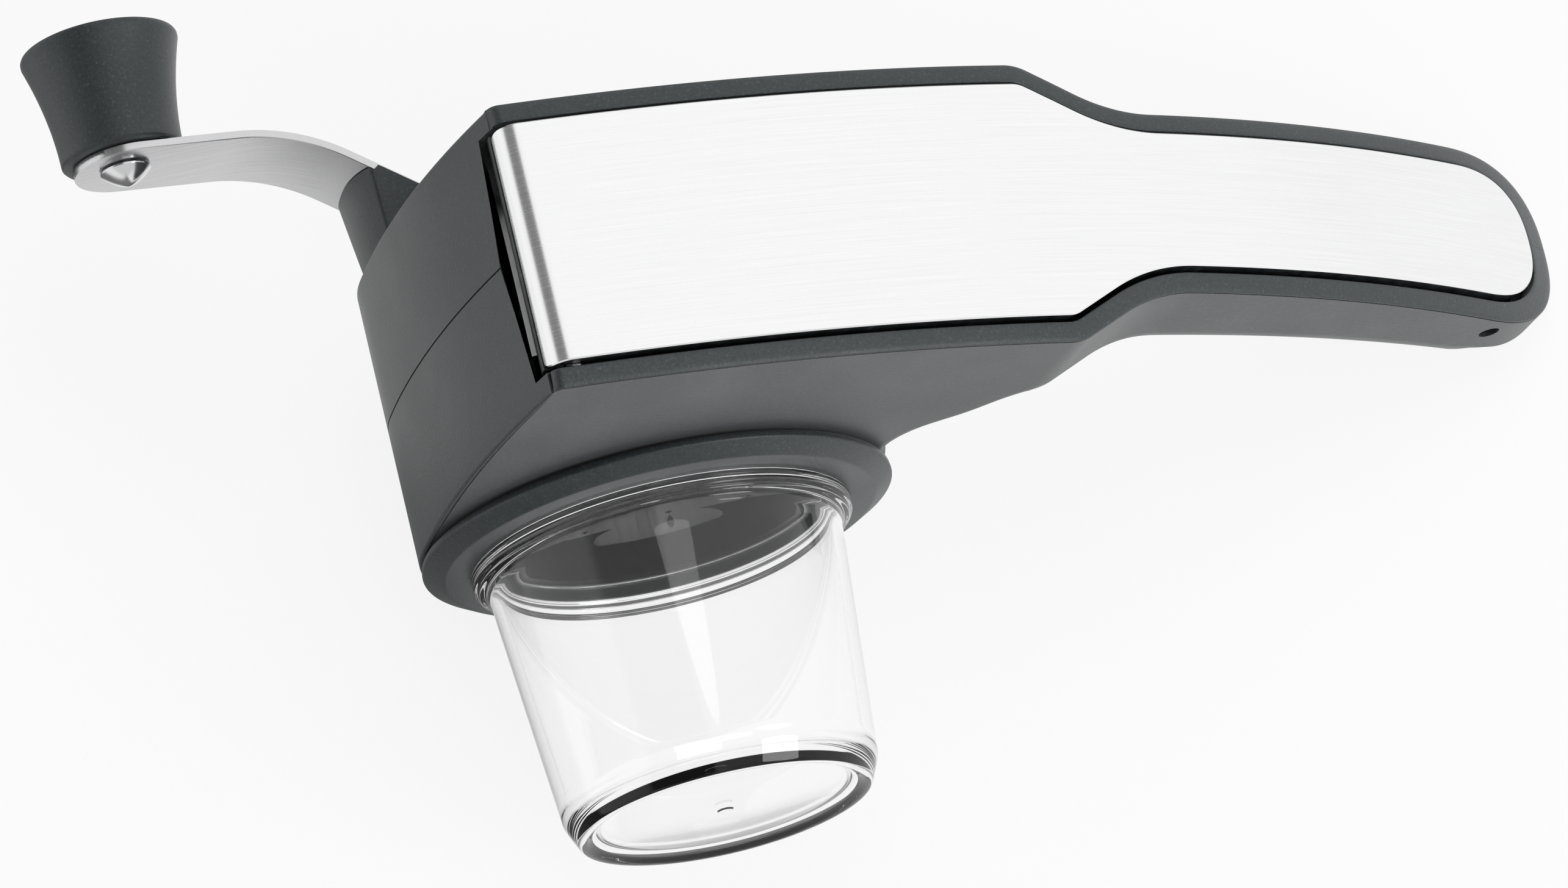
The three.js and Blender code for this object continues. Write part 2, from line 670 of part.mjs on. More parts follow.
// Grating drum: sheet cylinder with rows of punched, raised teeth, one to every fourth facet
function drumForm() {
  const facets = 4 * teethAround;
  const flat = drumRadius * Math.cos(Math.PI / facets);
  let drum = turned([
    [drumRadius - drumSheet, drumFrom], [drumRadius, drumFrom], [drumRadius, drumTo],
    [drumRadius - drumSheet, drumTo], [drumRadius - drumSheet, drumFrom],
  ], facets);
  const cut = solid(new THREE.BoxGeometry(8, 4, 8).translate(0, 2, 0).rotateZ(rad(toothCut)))
    .translate([0, flat + toothRise * 0.4, 0]);
  const tooth = solid(new THREE.CylinderGeometry(toothHole * 1.15, toothBase, toothRise + 0.4, 4)
    .translate(0, flat + toothRise / 2 - 0.2, 0)).subtract(cut);
  const hole = solid(new THREE.CylinderGeometry(toothHole, toothHole, 6, 4).translate(0, flat, 0));
  const pitch = (drumTo - hubSeat - drumFrom - 2 * toothMargin) / (toothRows - 1);
  const everyTooth = (form) => {
    const forms = [];
    for (let row = 0; row < toothRows; row += 1) {
      for (let column = 0; column < teethAround; column += 1) {
        const turn = 360 * (column + (row % 2) / 2 + 1 / 8) / teethAround;
        forms.push(form.rotate([90, 0, 0]).rotate([0, turn, 0])
          .translate([0, drumFrom + toothMargin + pitch * row, 0]));
      }
    }
    return wasm.Manifold.union(forms);
  };
  return drum.add(everyTooth(tooth)).subtract(everyTooth(hole));
}

piece('grating_drum', drumForm(), steel);

const drumInner = drumRadius - drumSheet - gap;
piece('drum_rim', turned([
  [drumInner - rimLip, drumFrom + rimSeat], [drumInner - rimLip, drumFrom - rimReach],
  [collarBore - rimGap, drumFrom - rimReach], [collarBore - rimGap, drumFrom - gap],
  [drumInner, drumFrom - gap], [drumInner, drumFrom + rimSeat], [drumInner - rimLip, drumFrom + rimSeat],
], 32), glossBlack);

const hubFaceY = sideInner - 2 - gap;
piece('drum_hub', turned([
  [0, drumTo - hubDeep], [hubBoss, drumTo - hubDeep], [hubBossFoot, drumTo - hubSeat],
  [drumInner, drumTo - hubSeat], [drumInner, drumTo + gap], [drumRadius, drumTo + gap],
  [drumRadius, hubFaceY],
  [0, hubFaceY],
], 32).subtract(block(-shaftSquare / 2 - gap, shaftSquare / 2 + gap, 0, 40,
  -shaftSquare / 2 - gap, shaftSquare / 2 + gap)), glossBlack);

const shaftTop = armHubY - gap;
piece('drive_shaft', barY(shaftRadius, hubFaceY + gap, hubBaseY + 0.6, 0, 0, 20)
  .add(block(-shaftSquare / 2, shaftSquare / 2, drumTo - hubDeep + 0.5, shaftTop,
    -shaftSquare / 2, shaftSquare / 2))
  .subtract(barY(1.6, shaftTop - 9, shaftTop + 1, 0, 0, 12)), steel);

// Strap of the crank: underside height over x, two bends and a slope between them
const slope = rad(armSlope);
const bendDrop = armBendRadius * (1 - Math.cos(slope));
const bendRun = armBendRadius * Math.sin(slope);
const slopeRun = (armKnobY - armHubY - 2 * bendDrop) / Math.tan(slope);
const armEnd = armWidth / 2;

function strapLine(rise) {
  const points = [[-armLength - armEnd - 2, armKnobY + rise]];
  for (let k = 0; k <= 6; k += 1) {
    const turn = slope * k / 6;
    points.push([
      armBendTopX + (armBendRadius + rise) * Math.sin(turn),
      armKnobY - armBendRadius + (armBendRadius + rise) * Math.cos(turn),
    ]);
  }
  const lowX = armBendTopX + 2 * bendRun + slopeRun;
  for (let k = 6; k >= 0; k -= 1) {
    const turn = slope * k / 6;
    points.push([
      lowX - (armBendRadius - rise) * Math.sin(turn),
      armHubY + armBendRadius - (armBendRadius - rise) * Math.cos(turn),
    ]);
  }
  points.push([armEnd + 2, armHubY + rise]);
  return points;
}

// Extrudes a shape drawn in X and Y from z = -half to z = half
function acrossZ(points, half) {
  const shape = new THREE.Shape(points.map(([x, y]) => new THREE.Vector2(x, y)));
  return solid(new THREE.ExtrudeGeometry(shape, { depth: 2 * half, bevelEnabled: false })
    .translate(0, 0, -half));
}

// A bar with two round ends, standing along Y, narrower at its foot by draft
function tongue(fromX, toX, width, from, to, draft = 0) {
  const middle = (fromX + toX) / 2;
  const ring = (inset, y) => {
    const points = [];
    const radius = width / 2 - inset;
    for (let k = 0; k <= 10; k += 1) {
      const turn = rad(-90 + 180 * k / 10);
      points.push([toX - width / 2 + radius * Math.cos(turn), y, radius * Math.sin(turn)]);
    }
    for (let k = 0; k <= 10; k += 1) {
      const turn = rad(90 + 180 * k / 10);
      points.push([fromX + width / 2 + radius * Math.cos(turn), y, radius * Math.sin(turn)]);
    }
    return points.map((p) => new THREE.Vector3(...p));
  };
  const low = ring(draft, from);
  const high = ring(0, to);
  const triangles = [];
  const lowMiddle = new THREE.Vector3(middle, from, 0);
  const highMiddle = new THREE.Vector3(middle, to, 0);
  for (let i = 0; i < low.length; i += 1) {
    const j = (i + 1) % low.length;
    triangles.push(low[i], high[i], high[j], low[i], high[j], low[j]);
    triangles.push(lowMiddle, low[i], low[j], highMiddle, high[j], high[i]);
  }
  return solid(new THREE.BufferGeometry().setFromPoints(triangles));
}

const strapPlan = tongue(-armLength - armEnd, armEnd, armWidth, 0, 90);
piece('crank_arm', acrossZ([...strapLine(0), ...strapLine(armThick).reverse()], armWidth)
  .intersect(strapPlan)
  .subtract(barY(2.3, 20, 60, 0, 0, 20))
  .subtract(barY(rivetShank + gap, 30, 70, -armLength, 0, 20)), steel);

piece('crank_hub', acrossZ([
  [armEnd + 2, hubBaseY - 1], ...strapLine(-gap).reverse(), [-armLength - armEnd - 2, hubBaseY - 1],
], armWidth)
  .intersect(tongue(hubTipX, armEnd, armWidth, hubBaseY, armKnobY, hubDraft))
  .subtract(block(-shaftSquare / 2 - gap, shaftSquare / 2 + gap, 0, 40,
    -shaftSquare / 2 - gap, shaftSquare / 2 + gap))
  .subtract(barY(shaftRadius + gap, hubBaseY - 1, hubBaseY + 1.2, 0, 0, 24)), plastic);

const screwSeat = armHubY + armThick + gap;
piece('crank_screw', turned([
  [0, shaftTop - 7], [1.3, shaftTop - 7], [1.3, screwSeat], [4.6, screwSeat], [4.6, screwSeat + 1],
  [3.2, screwSeat + 2.2], [1.5, screwSeat + 2.4], [1.5, screwSeat + 1.2], [0, screwSeat + 1.2],
], 14), steel);

// Knob on its rivet
const knobSeat = armKnobY + armThick;
const washerThick = 0.6;
const knobFoot = knobSeat + 2 * gap + washerThick;
const knobCrown = knobFoot + knobHeight;

function atKnob(form) {
  return form.translate([-armLength, 0, 0]);
}

piece('knob_washer', atKnob(turned([
  [rivetShank + gap, knobSeat + gap], [6.5, knobSeat + gap], [6.5, knobSeat + gap + washerThick],
  [rivetShank + gap, knobSeat + gap + washerThick], [rivetShank + gap, knobSeat + gap],
], 18)), steel);

const rivetTop = knobCrown - 5;
piece('knob_rivet', atKnob(turned([
  [0, armKnobY - gap - rivetCone], [0.8, armKnobY - gap - rivetCone + 0.1],
  [rivetHead, armKnobY - gap - 0.5], [rivetHead, armKnobY - gap], [rivetShank, armKnobY - gap],
  [rivetShank, rivetTop], [4.4, rivetTop], [4.4, rivetTop + 1.4], [0, rivetTop + 1.4],
], 18)), steel);

function knobForm() {
  const side = new THREE.SplineCurve([
    new THREE.Vector2(knobBase, knobFoot + 1.6),
    new THREE.Vector2(knobWaist, knobFoot + knobHeight * 0.34),
    new THREE.Vector2(knobWaist + 0.8, knobFoot + knobHeight * 0.6),
    new THREE.Vector2(knobTop - 0.4, knobCrown - 1.2),
  ]).getPoints(7).map((p) => [p.x, p.y]);
  return turned([
    [rivetShank + gap, knobFoot], [knobBase - 1.4, knobFoot], [knobBase - 0.3, knobFoot + 0.5], ...side,
    [knobTop, knobCrown - 0.5], [knobTop - 0.2, knobCrown], [knobRim, knobCrown],
    [knobRim, knobCrown - capSink], [6, knobCrown - capSink], [6, rivetTop - gap],
    [rivetShank + gap, rivetTop - gap], [rivetShank + gap, knobFoot],
  ], 26);
}

piece('knob', atKnob(knobForm()), plastic);
piece('knob_cap', atKnob(turned([
  [0, knobCrown - capSink + gap], [knobRim - gap, knobCrown - capSink + gap],
  [knobRim - gap, knobCrown - 0.5], [knobRim - gap - 0.4, knobCrown - 0.1], [0, knobCrown - 0.1],
], 32)), plastic);

// Catch jar
const jarMouthY = drumFrom - rimReach - rimGap;
const jarBead = jarNeck + jarBeadOut;
const jarShoulder = jarNeck - jarStep;
const jarHeel = jarShoulder - jarTaper;
const jarFoot = jarHeel - jarHeelOut;
const jarHollow = jarFoot - jarFootRing;
const beadTopY = collarFace - gap;
const beadLowY = beadTopY - jarBeadHeight;
const footY = sideY - jarLength;
piece('jar', turned([
  [jarNeck - jarWall, jarMouthY], [jarNeck, jarMouthY], [jarNeck, beadTopY], [jarBead - 0.6, beadTopY],
  [jarBead, beadTopY - 0.6], [jarBead, beadLowY + 0.9], [jarBead - 0.5, beadLowY + 0.2],
  [jarShoulder, beadLowY - 0.5], [jarShoulder - 0.5, beadLowY - 2],
  [jarHeel, footY + 4.5], [jarHeel - 0.5, footY + 1.8], [jarFoot + 0.2, footY + 0.4],
  [jarFoot - 0.5, footY], [jarHollow + 0.5, footY], [jarHollow, footY + jarRecess], [0, footY + jarRecess],
  [0, footY + jarRecess + jarBase], [jarHollow, footY + jarRecess + jarBase],
  [jarHeel - jarWall - 0.8, footY + jarBase + 2.4], [jarHeel - jarWall, footY + jarBase + 5.5],
  [jarShoulder - 0.5 - jarWall, beadLowY - 2], [jarNeck - jarWall, beadLowY + 1],
  [jarNeck - jarWall, jarMouthY],
], 36), clear);

// Laid on the table: turned about the drum until the tip touches, then centred over z = 0
const tips = undersideLine(0).filter((p) => p.x > endX);
const restTilt = Math.min(...tips.map((p) => p.angle() + Math.asin(housingRadius / p.length())));
grater.rotation.y = restTilt;
const laid = new THREE.Box3().setFromObject(grater, true);
const middle = laid.getCenter(new THREE.Vector3());
grater.position.set(-middle.x, -middle.y, -laid.min.z);

const object = new THREE.Group();
object.add(grater);
object.updateMatrixWorld(true);

export default object;
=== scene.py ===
import bpy
import bmesh
import numpy as np
from math import radians, degrees, sin, cos, tan, pi
from mathutils import Matrix, Vector


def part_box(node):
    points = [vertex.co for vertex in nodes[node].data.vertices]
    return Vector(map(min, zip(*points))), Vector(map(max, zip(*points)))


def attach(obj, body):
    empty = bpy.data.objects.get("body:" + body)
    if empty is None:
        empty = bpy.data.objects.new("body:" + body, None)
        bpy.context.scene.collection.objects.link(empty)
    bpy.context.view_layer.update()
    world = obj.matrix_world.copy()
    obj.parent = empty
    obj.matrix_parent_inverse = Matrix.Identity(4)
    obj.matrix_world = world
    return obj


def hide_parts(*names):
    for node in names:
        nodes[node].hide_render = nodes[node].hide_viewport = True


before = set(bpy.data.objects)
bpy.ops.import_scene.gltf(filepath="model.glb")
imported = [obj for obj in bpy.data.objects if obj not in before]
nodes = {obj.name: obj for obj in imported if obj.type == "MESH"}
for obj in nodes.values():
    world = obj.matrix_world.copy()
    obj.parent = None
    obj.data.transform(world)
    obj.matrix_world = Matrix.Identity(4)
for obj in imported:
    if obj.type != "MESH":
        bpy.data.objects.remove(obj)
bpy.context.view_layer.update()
print("frame loaded:", len(nodes), "nodes")

# Everything below is drawn in millimetres in the drum's own frame: the drum turns about y, the jar is at -y,
# the crank at +y, and z is up towards the lever. The frame lies tilted on the table.
ringLow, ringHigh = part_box("collar_ring")
shellMeet = (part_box("housing_jar_side")[1].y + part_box("housing_crank_side")[0].y) / 2
rest = {
    "tilt": 17.779,     # degrees, nose up
    "drumX": (ringLow.x + ringHigh.x) / 2,
    "drumY": shellMeet,
    "drumZ": (ringLow.z + ringHigh.z) / 2,
}


# turns about y by the rest's tilt, scales millimetres to metres and moves to the drum
def placed(points):
    p = np.asarray(points, float)
    t = radians(rest["tilt"])
    x, y, z = p[..., 0], p[..., 1], p[..., 2]
    return np.stack([
        (x * cos(t) + z * sin(t)) * 0.001 + rest["drumX"],
        y * 0.001 + rest["drumY"],
        (z * cos(t) - x * sin(t)) * 0.001 + rest["drumZ"],
    ], -1)


# faces of a grid of points: neighbours along both directions, wrapped where a direction closes
def gridFaces(rows, columns, wrapRows=False, wrapColumns=False):
    i = np.arange(rows if wrapRows else rows - 1)
    j = np.arange(columns if wrapColumns else columns - 1)
    i, j = [a.ravel() for a in np.meshgrid(i, j, indexing="ij")]
    i2, j2 = (i + 1) % rows, (j + 1) % columns
    return np.stack([i * columns + j, i * columns + j2, i2 * columns + j2, i2 * columns + j], 1)


# a piece from points in millimetres: doubles merged, loose edges dropped, faces turned outwards
def makeMesh(name, points, faces, sharp=32):
    mesh = bpy.data.meshes.new(name)
    faces = faces.tolist() if isinstance(faces, np.ndarray) else faces
    mesh.from_pydata(placed(points).reshape(-1, 3), [], faces)
    work = bmesh.new()
    work.from_mesh(mesh)
    bmesh.ops.remove_doubles(work, verts=work.verts, dist=2e-7)
    bmesh.ops.dissolve_degenerate(work, edges=work.edges, dist=1e-7)
    bmesh.ops.delete(work, geom=[edge for edge in work.edges if edge.is_wire], context="EDGES")
    bmesh.ops.recalc_face_normals(work, faces=work.faces)
    if work.calc_volume(signed=True) < 0:
        bmesh.ops.reverse_faces(work, faces=work.faces)
    openEdges = sum(not edge.is_manifold for edge in work.edges)
    print(name, len(work.faces), "faces", openEdges, "open edges", round(work.calc_volume() * 1e6, 3), "ml")
    work.to_mesh(mesh)
    work.free()
    piece = bpy.data.objects.new(name, mesh)
    bpy.context.scene.collection.objects.link(piece)
    smoothed(piece, sharp)
    return piece


# smooth shading, with edges kept where the faces beside them turn by more than sharp degrees
def smoothed(piece, sharp=32):
    piece.data.shade_smooth()
    piece.data.set_sharp_from_angle(angle=radians(sharp))


# a profile of (radius, y) pairs turned about a line along y through (x, z)
def turned(name, profile, centre=(0, 0), steps=128, closed=True, sharp=32):
    profile = np.array(profile, float)
    a = np.linspace(0, 2 * pi, steps, endpoint=False)[:, None]
    points = np.stack([
        centre[0] + profile[None, :, 0] * np.cos(a),
        np.broadcast_to(profile[None, :, 1], (steps, len(profile))),
        centre[1] + profile[None, :, 0] * np.sin(a),
    ], -1)
    return makeMesh(name, points, gridFaces(steps, len(profile), True, closed), sharp)


# round off the corners of a profile: each corner becomes a quadratic curve that starts a little before it
def softened(profile, reach=0.3, steps=4, closed=True):
    p = np.array(profile, float)
    before, after = np.roll(p, 1, 0), np.roll(p, -1, 0)
    t = np.linspace(0, 1, steps + 1)[:, None]
    out = []
    for i, (a, b, c) in enumerate(zip(before, p, after)):
        if not closed and i in (0, len(p) - 1):
            out.append(b[None])
            continue
        la, lc = np.linalg.norm(a - b), np.linalg.norm(c - b)
        start = b + (a - b) / la * min(reach, la * 0.45)
        end = b + (c - b) / lc * min(reach, lc * 0.45)
        out.append((1 - t) ** 2 * start + 2 * t * (1 - t) * b + t ** 2 * end)
    return np.concatenate(out)


housing = {
    "half": 26.7, "handleHalf": 17.3, "round": 43.5, "wall": 2.4,
    "noseRadius": 280, "noseLean": 7.3,
    "topRadius": 320, "crownX": -10, "crownZ": 76.3,
    "gripRadius": 325, "gripX": 6.5, "gripZ": 44.3,
    "tipX": 180, "tipLip": 1.4, "tipRiseX": 156, "tipControl": (162.5, 5.2),
    "neckRadius": 12, "neckAngle": 22.4, "flareAngle": 35, "flareRounding": 4.9,
    "shoulderX": 57.5, "shoulderOut": 10, "shoulderIn": 35, "shoulderAngle": 27,
    "endX": 158, "endPower": 2.5, "tipInset": 1.35,
    "bandWidth": 3.6, "lipDepth": 3.4,
    "edgeBody": 0.6, "edgeGrip": 8, "edgeFromX": 48, "edgeToX": 62,
    "edgeNeck": 4.0, "grooveWidth": 0.6, "grooveDepth": 0.9, "creaseDepth": 0.6, "parting": 0.17,
    # the top edge is passed more slowly than the outline below it, so that the lines between them don't cross
    "topShare": ((0, 0.877, 0.90, 0.94, 1), (0, 0.40, 0.56, 0.80, 1)),
    "noseTopZ": 72.9, "frontRound": 1.6, "cavityEnd": 9.0,
    # where the edge grows at the neck and grip, as shares of the body's stations, and where the crease fades
    "neckFrom": 0.76, "neckTo": 0.86, "gripFrom": 0.8, "creaseFrom": 66, "creaseTo": 84,
    "grooveSteps": (0.18, 0.5, 0.82),
    # the rim across its width: inset and rise
    "rim": ((0.06, 0.1), (0.22, 0.24), (0.9, 0.4), (1.8, 0.56), (2.7, 0.7), (3.2, 0.78),
            (3.42, 0.76), (3.56, 0.66), (3.6, 0.5)),
    "lipFromX": -39.3, "lipToX": -38.0, "lipRoom": 1.3,
}
crownCentreZ = housing["crownZ"] - housing["topRadius"]
gripCentreZ = housing["gripZ"] - housing["gripRadius"]
noseCentre = (housing["noseRadius"] - housing["round"]) * np.array(
    [cos(radians(housing["noseLean"])), sin(radians(housing["noseLean"]))])


# the long arc over the top, raised or lowered: its centre's height plus the root of the radius squared less
# the distance along x squared
def topZ(x, rise=0.0):
    return crownCentreZ + np.sqrt((housing["topRadius"] + rise) ** 2 - (x - housing["crownX"]) ** 2)


# 0 up to low, 1 from high, and three t squared less two t cubed between
def smoothStep(x, low, high):
    t = np.clip((x - low) / (high - low), 0, 1)
    return t * t * (3 - 2 * t)


# half of the plan with fixed counts: straight body, round shoulder, slope, hollow shoulder, grip and a
# superellipse at the tip; every inset gives the same number of points
planCounts = {"body": 240, "shoulder": 14, "slope": 5, "hollow": 20, "grip": 34, "end": 56}
def planHalf(inset, frontX=-41.8):
    h, n = housing, planCounts
    a = radians(h["shoulderAngle"])
    drop = h["half"] - h["handleHalf"] - (h["shoulderOut"] + h["shoulderIn"]) * (1 - cos(a))
    handleX = h["shoulderX"] + (h["shoulderOut"] + h["shoulderIn"]) * sin(a) + drop / tan(a)
    share = np.interp(np.linspace(0, 1, n["body"], endpoint=False), h["topShare"][0], h["topShare"][1])
    bx = frontX + (h["shoulderX"] - frontX) * share
    body = np.stack([bx, np.full_like(bx, h["half"] - inset)], 1)
    t = np.linspace(0, a, n["shoulder"])
    ro, ri = h["shoulderOut"] - inset, h["shoulderIn"] + inset
    shoulder = np.stack([h["shoulderX"] + ro * np.sin(t), h["half"] - h["shoulderOut"] + ro * np.cos(t)], 1)
    t = np.linspace(a, 0, n["hollow"])
    hollow = np.stack([handleX - ri * np.sin(t), h["handleHalf"] + h["shoulderIn"] - ri * np.cos(t)], 1)
    t = np.linspace(0, 1, n["slope"] + 2)[1:-1, None]
    slope = shoulder[-1] * (1 - t) + hollow[0] * t
    gx = np.linspace(handleX, h["endX"], n["grip"] + 1)[1:]
    grip = np.stack([gx, np.full_like(gx, h["handleHalf"] - inset)], 1)
    t = np.linspace(0, pi / 2, n["end"] + 1)[1:]
    along, across = np.sin(t), np.maximum(np.cos(t), 0)
    k = (along ** h["endPower"] + across ** h["endPower"]) ** (-1 / h["endPower"])
    reach = h["tipX"] - h["endX"] - inset * h["tipInset"]
    end = np.stack([h["endX"] + reach * along * k, (h["handleHalf"] - inset) * across * k], 1)
    return np.concatenate([body, shoulder, slope, hollow, grip, end])


# half width of the plan at x, read off its line
def halfAt(x, inset=0.0):
    line = planHalf(inset)
    return np.interp(x, line[:, 0], line[:, 1])


# an arc: the centre plus the radius times cosine and sine, from start to stop in degrees
def arcPoints(centre, radius, start, stop, count):
    t = np.radians(np.linspace(start, stop, count))
    return np.stack([centre[0] + radius * np.cos(t), centre[1] + radius * np.sin(t)], 1)


# the outline seen along the drum: nose arc, round, neck's hollow, flare, grip arc and the rise to the tip
def outline():
    h = housing
    topAngle = degrees(np.arcsin((h["noseTopZ"] - noseCentre[1]) / h["noseRadius"]))
    nose = arcPoints(noseCentre, h["noseRadius"], 180 - topAngle, 180 + h["noseLean"], 120)
    belly = arcPoints((0, 0), h["round"], 180 + h["noseLean"], 360 + h["neckAngle"], 400)[1:]
    neck = radians(h["neckAngle"])
    hollowAt = (h["round"] + h["neckRadius"]) * np.array([cos(neck), sin(neck)])
    hollow = arcPoints(hollowAt, h["neckRadius"], 180 + h["neckAngle"], 90 + h["flareAngle"], 60)[1:]
    slope = np.array([cos(radians(h["flareAngle"])), sin(radians(h["flareAngle"]))])
    start = hollow[-1]
    away = start - np.array([h["gripX"], gripCentreZ])
    along = away @ slope
    corner = start + slope * (-along + np.sqrt(along ** 2 + h["gripRadius"] ** 2 - away @ away))
    grip = lambda x: gripCentreZ + np.sqrt(h["gripRadius"] ** 2 - (x - h["gripX"]) ** 2)
    before = corner - slope * h["flareRounding"]
    afterX = corner[0] + h["flareRounding"]
    after = np.array([afterX, grip(afterX)])
    t = np.linspace(0, 1, 30)[1:, None]
    flare = np.concatenate([start + (before - start) * t,
                            (1 - t) ** 2 * before + 2 * t * (1 - t) * corner + t ** 2 * after])
    gx = np.linspace(afterX, h["tipRiseX"], 120)[1:]
    under = np.stack([gx, grip(gx)], 1)
    tip = np.array([h["tipX"], topZ(h["tipX"]) - h["tipLip"]])
    t = np.linspace(0, 1, 60)[1:, None]
    rise = (1 - t) ** 2 * under[-1] + 2 * t * (1 - t) * np.array(h["tipControl"]) + t ** 2 * tip
    return np.concatenate([nose, belly, hollow, flare, under, rise])


# the skin of one half: at each station a closed profile runs from the middle out over the wall's edge, up
# the side, over the rim and back down inside; the stations follow the outline and the plan together
def halfShell(name, side):
    h = housing
    plan = planHalf(0)
    count = len(plan)
    line = outline()
    length = np.concatenate([[0], np.cumsum(np.linalg.norm(np.diff(line, axis=0), axis=1))])
    bodyCount = planCounts["body"]
    lengthAtShoulder = length[np.argmax((line[:, 0] > h["shoulderX"]) & (length > 200))]
    bodyLength = np.linspace(0, lengthAtShoulder, bodyCount, endpoint=False)
    p = np.empty((count, 2))
    p[:bodyCount] = np.stack([np.interp(bodyLength, length, line[:, 0]),
                              np.interp(bodyLength, length, line[:, 1])], 1)
    tail = length >= lengthAtShoulder - 1e-6
    p[bodyCount:, 0] = plan[bodyCount:, 0]
    p[bodyCount:, 1] = np.interp(plan[bodyCount:, 0], line[tail, 0], line[tail, 1])
    along = np.gradient(p, axis=0)
    along /= np.linalg.norm(along, axis=1)[:, None] + 1e-12
    inward = np.stack([-along[:, 1], along[:, 0]], 1)
    station = np.arange(count, dtype=float)
    upright = smoothStep(station, bodyCount - 25, bodyCount + 15)[:, None]
    inward = inward * (1 - upright) + np.array([0, 1]) * upright
    inward /= np.linalg.norm(inward, axis=1)[:, None]
    # the rim bends down over the nose with a small radius
    nearFront = np.clip(plan[0, 0] + h["frontRound"] - plan[:, 0], 0, h["frontRound"])
    drop = h["frontRound"] - np.sqrt(h["frontRound"] ** 2 - nearFront ** 2)
    q = np.stack([plan[:, 0], topZ(plan[:, 0]) - drop], 1)

    neckShare = smoothStep(station, bodyCount * h["neckFrom"], bodyCount * h["neckTo"])
    gripShare = smoothStep(p[:, 0], h["edgeFromX"], h["edgeToX"]) * (station > bodyCount * h["gripFrom"])
    edge = h["edgeBody"] + (h["edgeNeck"] - h["edgeBody"]) * neckShare
    edge = edge + (h["edgeGrip"] - h["edgeNeck"]) * gripShare
    edge = np.minimum(edge, 0.4 * np.linalg.norm(q - p, axis=1))
    halfFull = halfAt(np.minimum(p[:, 0], h["endX"]))
    halfHere = plan[:, 1].copy()
    halfHere[:bodyCount] = halfAt(p[:bodyCount, 0])
    flatTo = np.minimum(halfFull - edge, halfHere)
    most = np.arcsin(np.clip((halfHere - (halfFull - edge)) / edge, 0, 1))

    rings = []

    def add(xz, y):
        rings.append(np.stack([xz[:, 0], np.maximum(y, 0.02) * side, xz[:, 1]], 1))

    middle = np.full(count, h["parting"])
    middle = np.minimum(middle, halfHere)
    for t in np.linspace(0, 1, 12):
        add(p, middle + (flatTo - middle) * t)
    for t in np.linspace(0, 1, 9)[1:]:
        turn = most * t
        add(p + inward * (edge * (1 - np.cos(turn)))[:, None], flatTo + edge * np.sin(turn) * (most > 0))
    foot = p + inward * (edge * (1 - np.cos(most)))[:, None]
    up = q - foot
    tall = np.linalg.norm(up, axis=1)
    up /= tall[:, None] + 1e-9
    width = np.minimum(h["grooveWidth"], tall * 0.25)
    deep = h["grooveDepth"] * width / h["grooveWidth"]
    across = np.abs(up[:, 0] * along[:, 1] - up[:, 1] * along[:, 0])
    lowWidth = np.minimum(h["grooveWidth"] / np.maximum(across, 0.25), tall * 0.25)
    fade = 1 - smoothStep(station, h["creaseFrom"], h["creaseTo"])
    lowDeep = h["creaseDepth"] * lowWidth * across / h["grooveWidth"] * fade
    for part, depth in zip(h["grooveSteps"], (0, 1, 0)):
        at = foot + up * (lowWidth * part)[:, None]
        add(at, sideAt(at, halfHere, bodyCount) - lowDeep * depth)
    for t in np.linspace(0, 1, 26)[1:-1]:
        at = foot + up * (lowWidth + (tall - lowWidth - width) * t)[:, None]
        add(at, sideAt(at, halfHere, bodyCount))
    for part, depth in zip(h["grooveSteps"][::-1], (0, 1, 0)):
        at = q - up * (width * part)[:, None]
        add(at, sideAt(at, halfHere, bodyCount) - deep * depth)
    for inset, rise in h["rim"]:
        here = planHalf(inset)
        add(np.stack([here[:, 0], topZ(here[:, 0], rise) - drop], 1), here[:, 1])
    bottom = lambda x: np.where(x > h["shoulderX"] - 0.01, np.interp(x, line[tail, 0], line[tail, 1]), -99)
    # near the nose the lip stays above the nose wall's upper end
    behindWall = smoothStep(plan[:, 0], h["lipFromX"], h["lipToX"])
    lip = np.clip(q[:, 1] - h["noseTopZ"] - 0.08, 0.05, h["lipDepth"]) * (1 - behindWall)
    lip = lip + h["lipDepth"] * behindWall
    here = planHalf(h["bandWidth"])
    for part in (0.3, 1):
        z = np.maximum(topZ(here[:, 0], -lip * part) - drop, bottom(here[:, 0]) + h["lipRoom"])
        add(np.stack([here[:, 0], z], 1), here[:, 1])
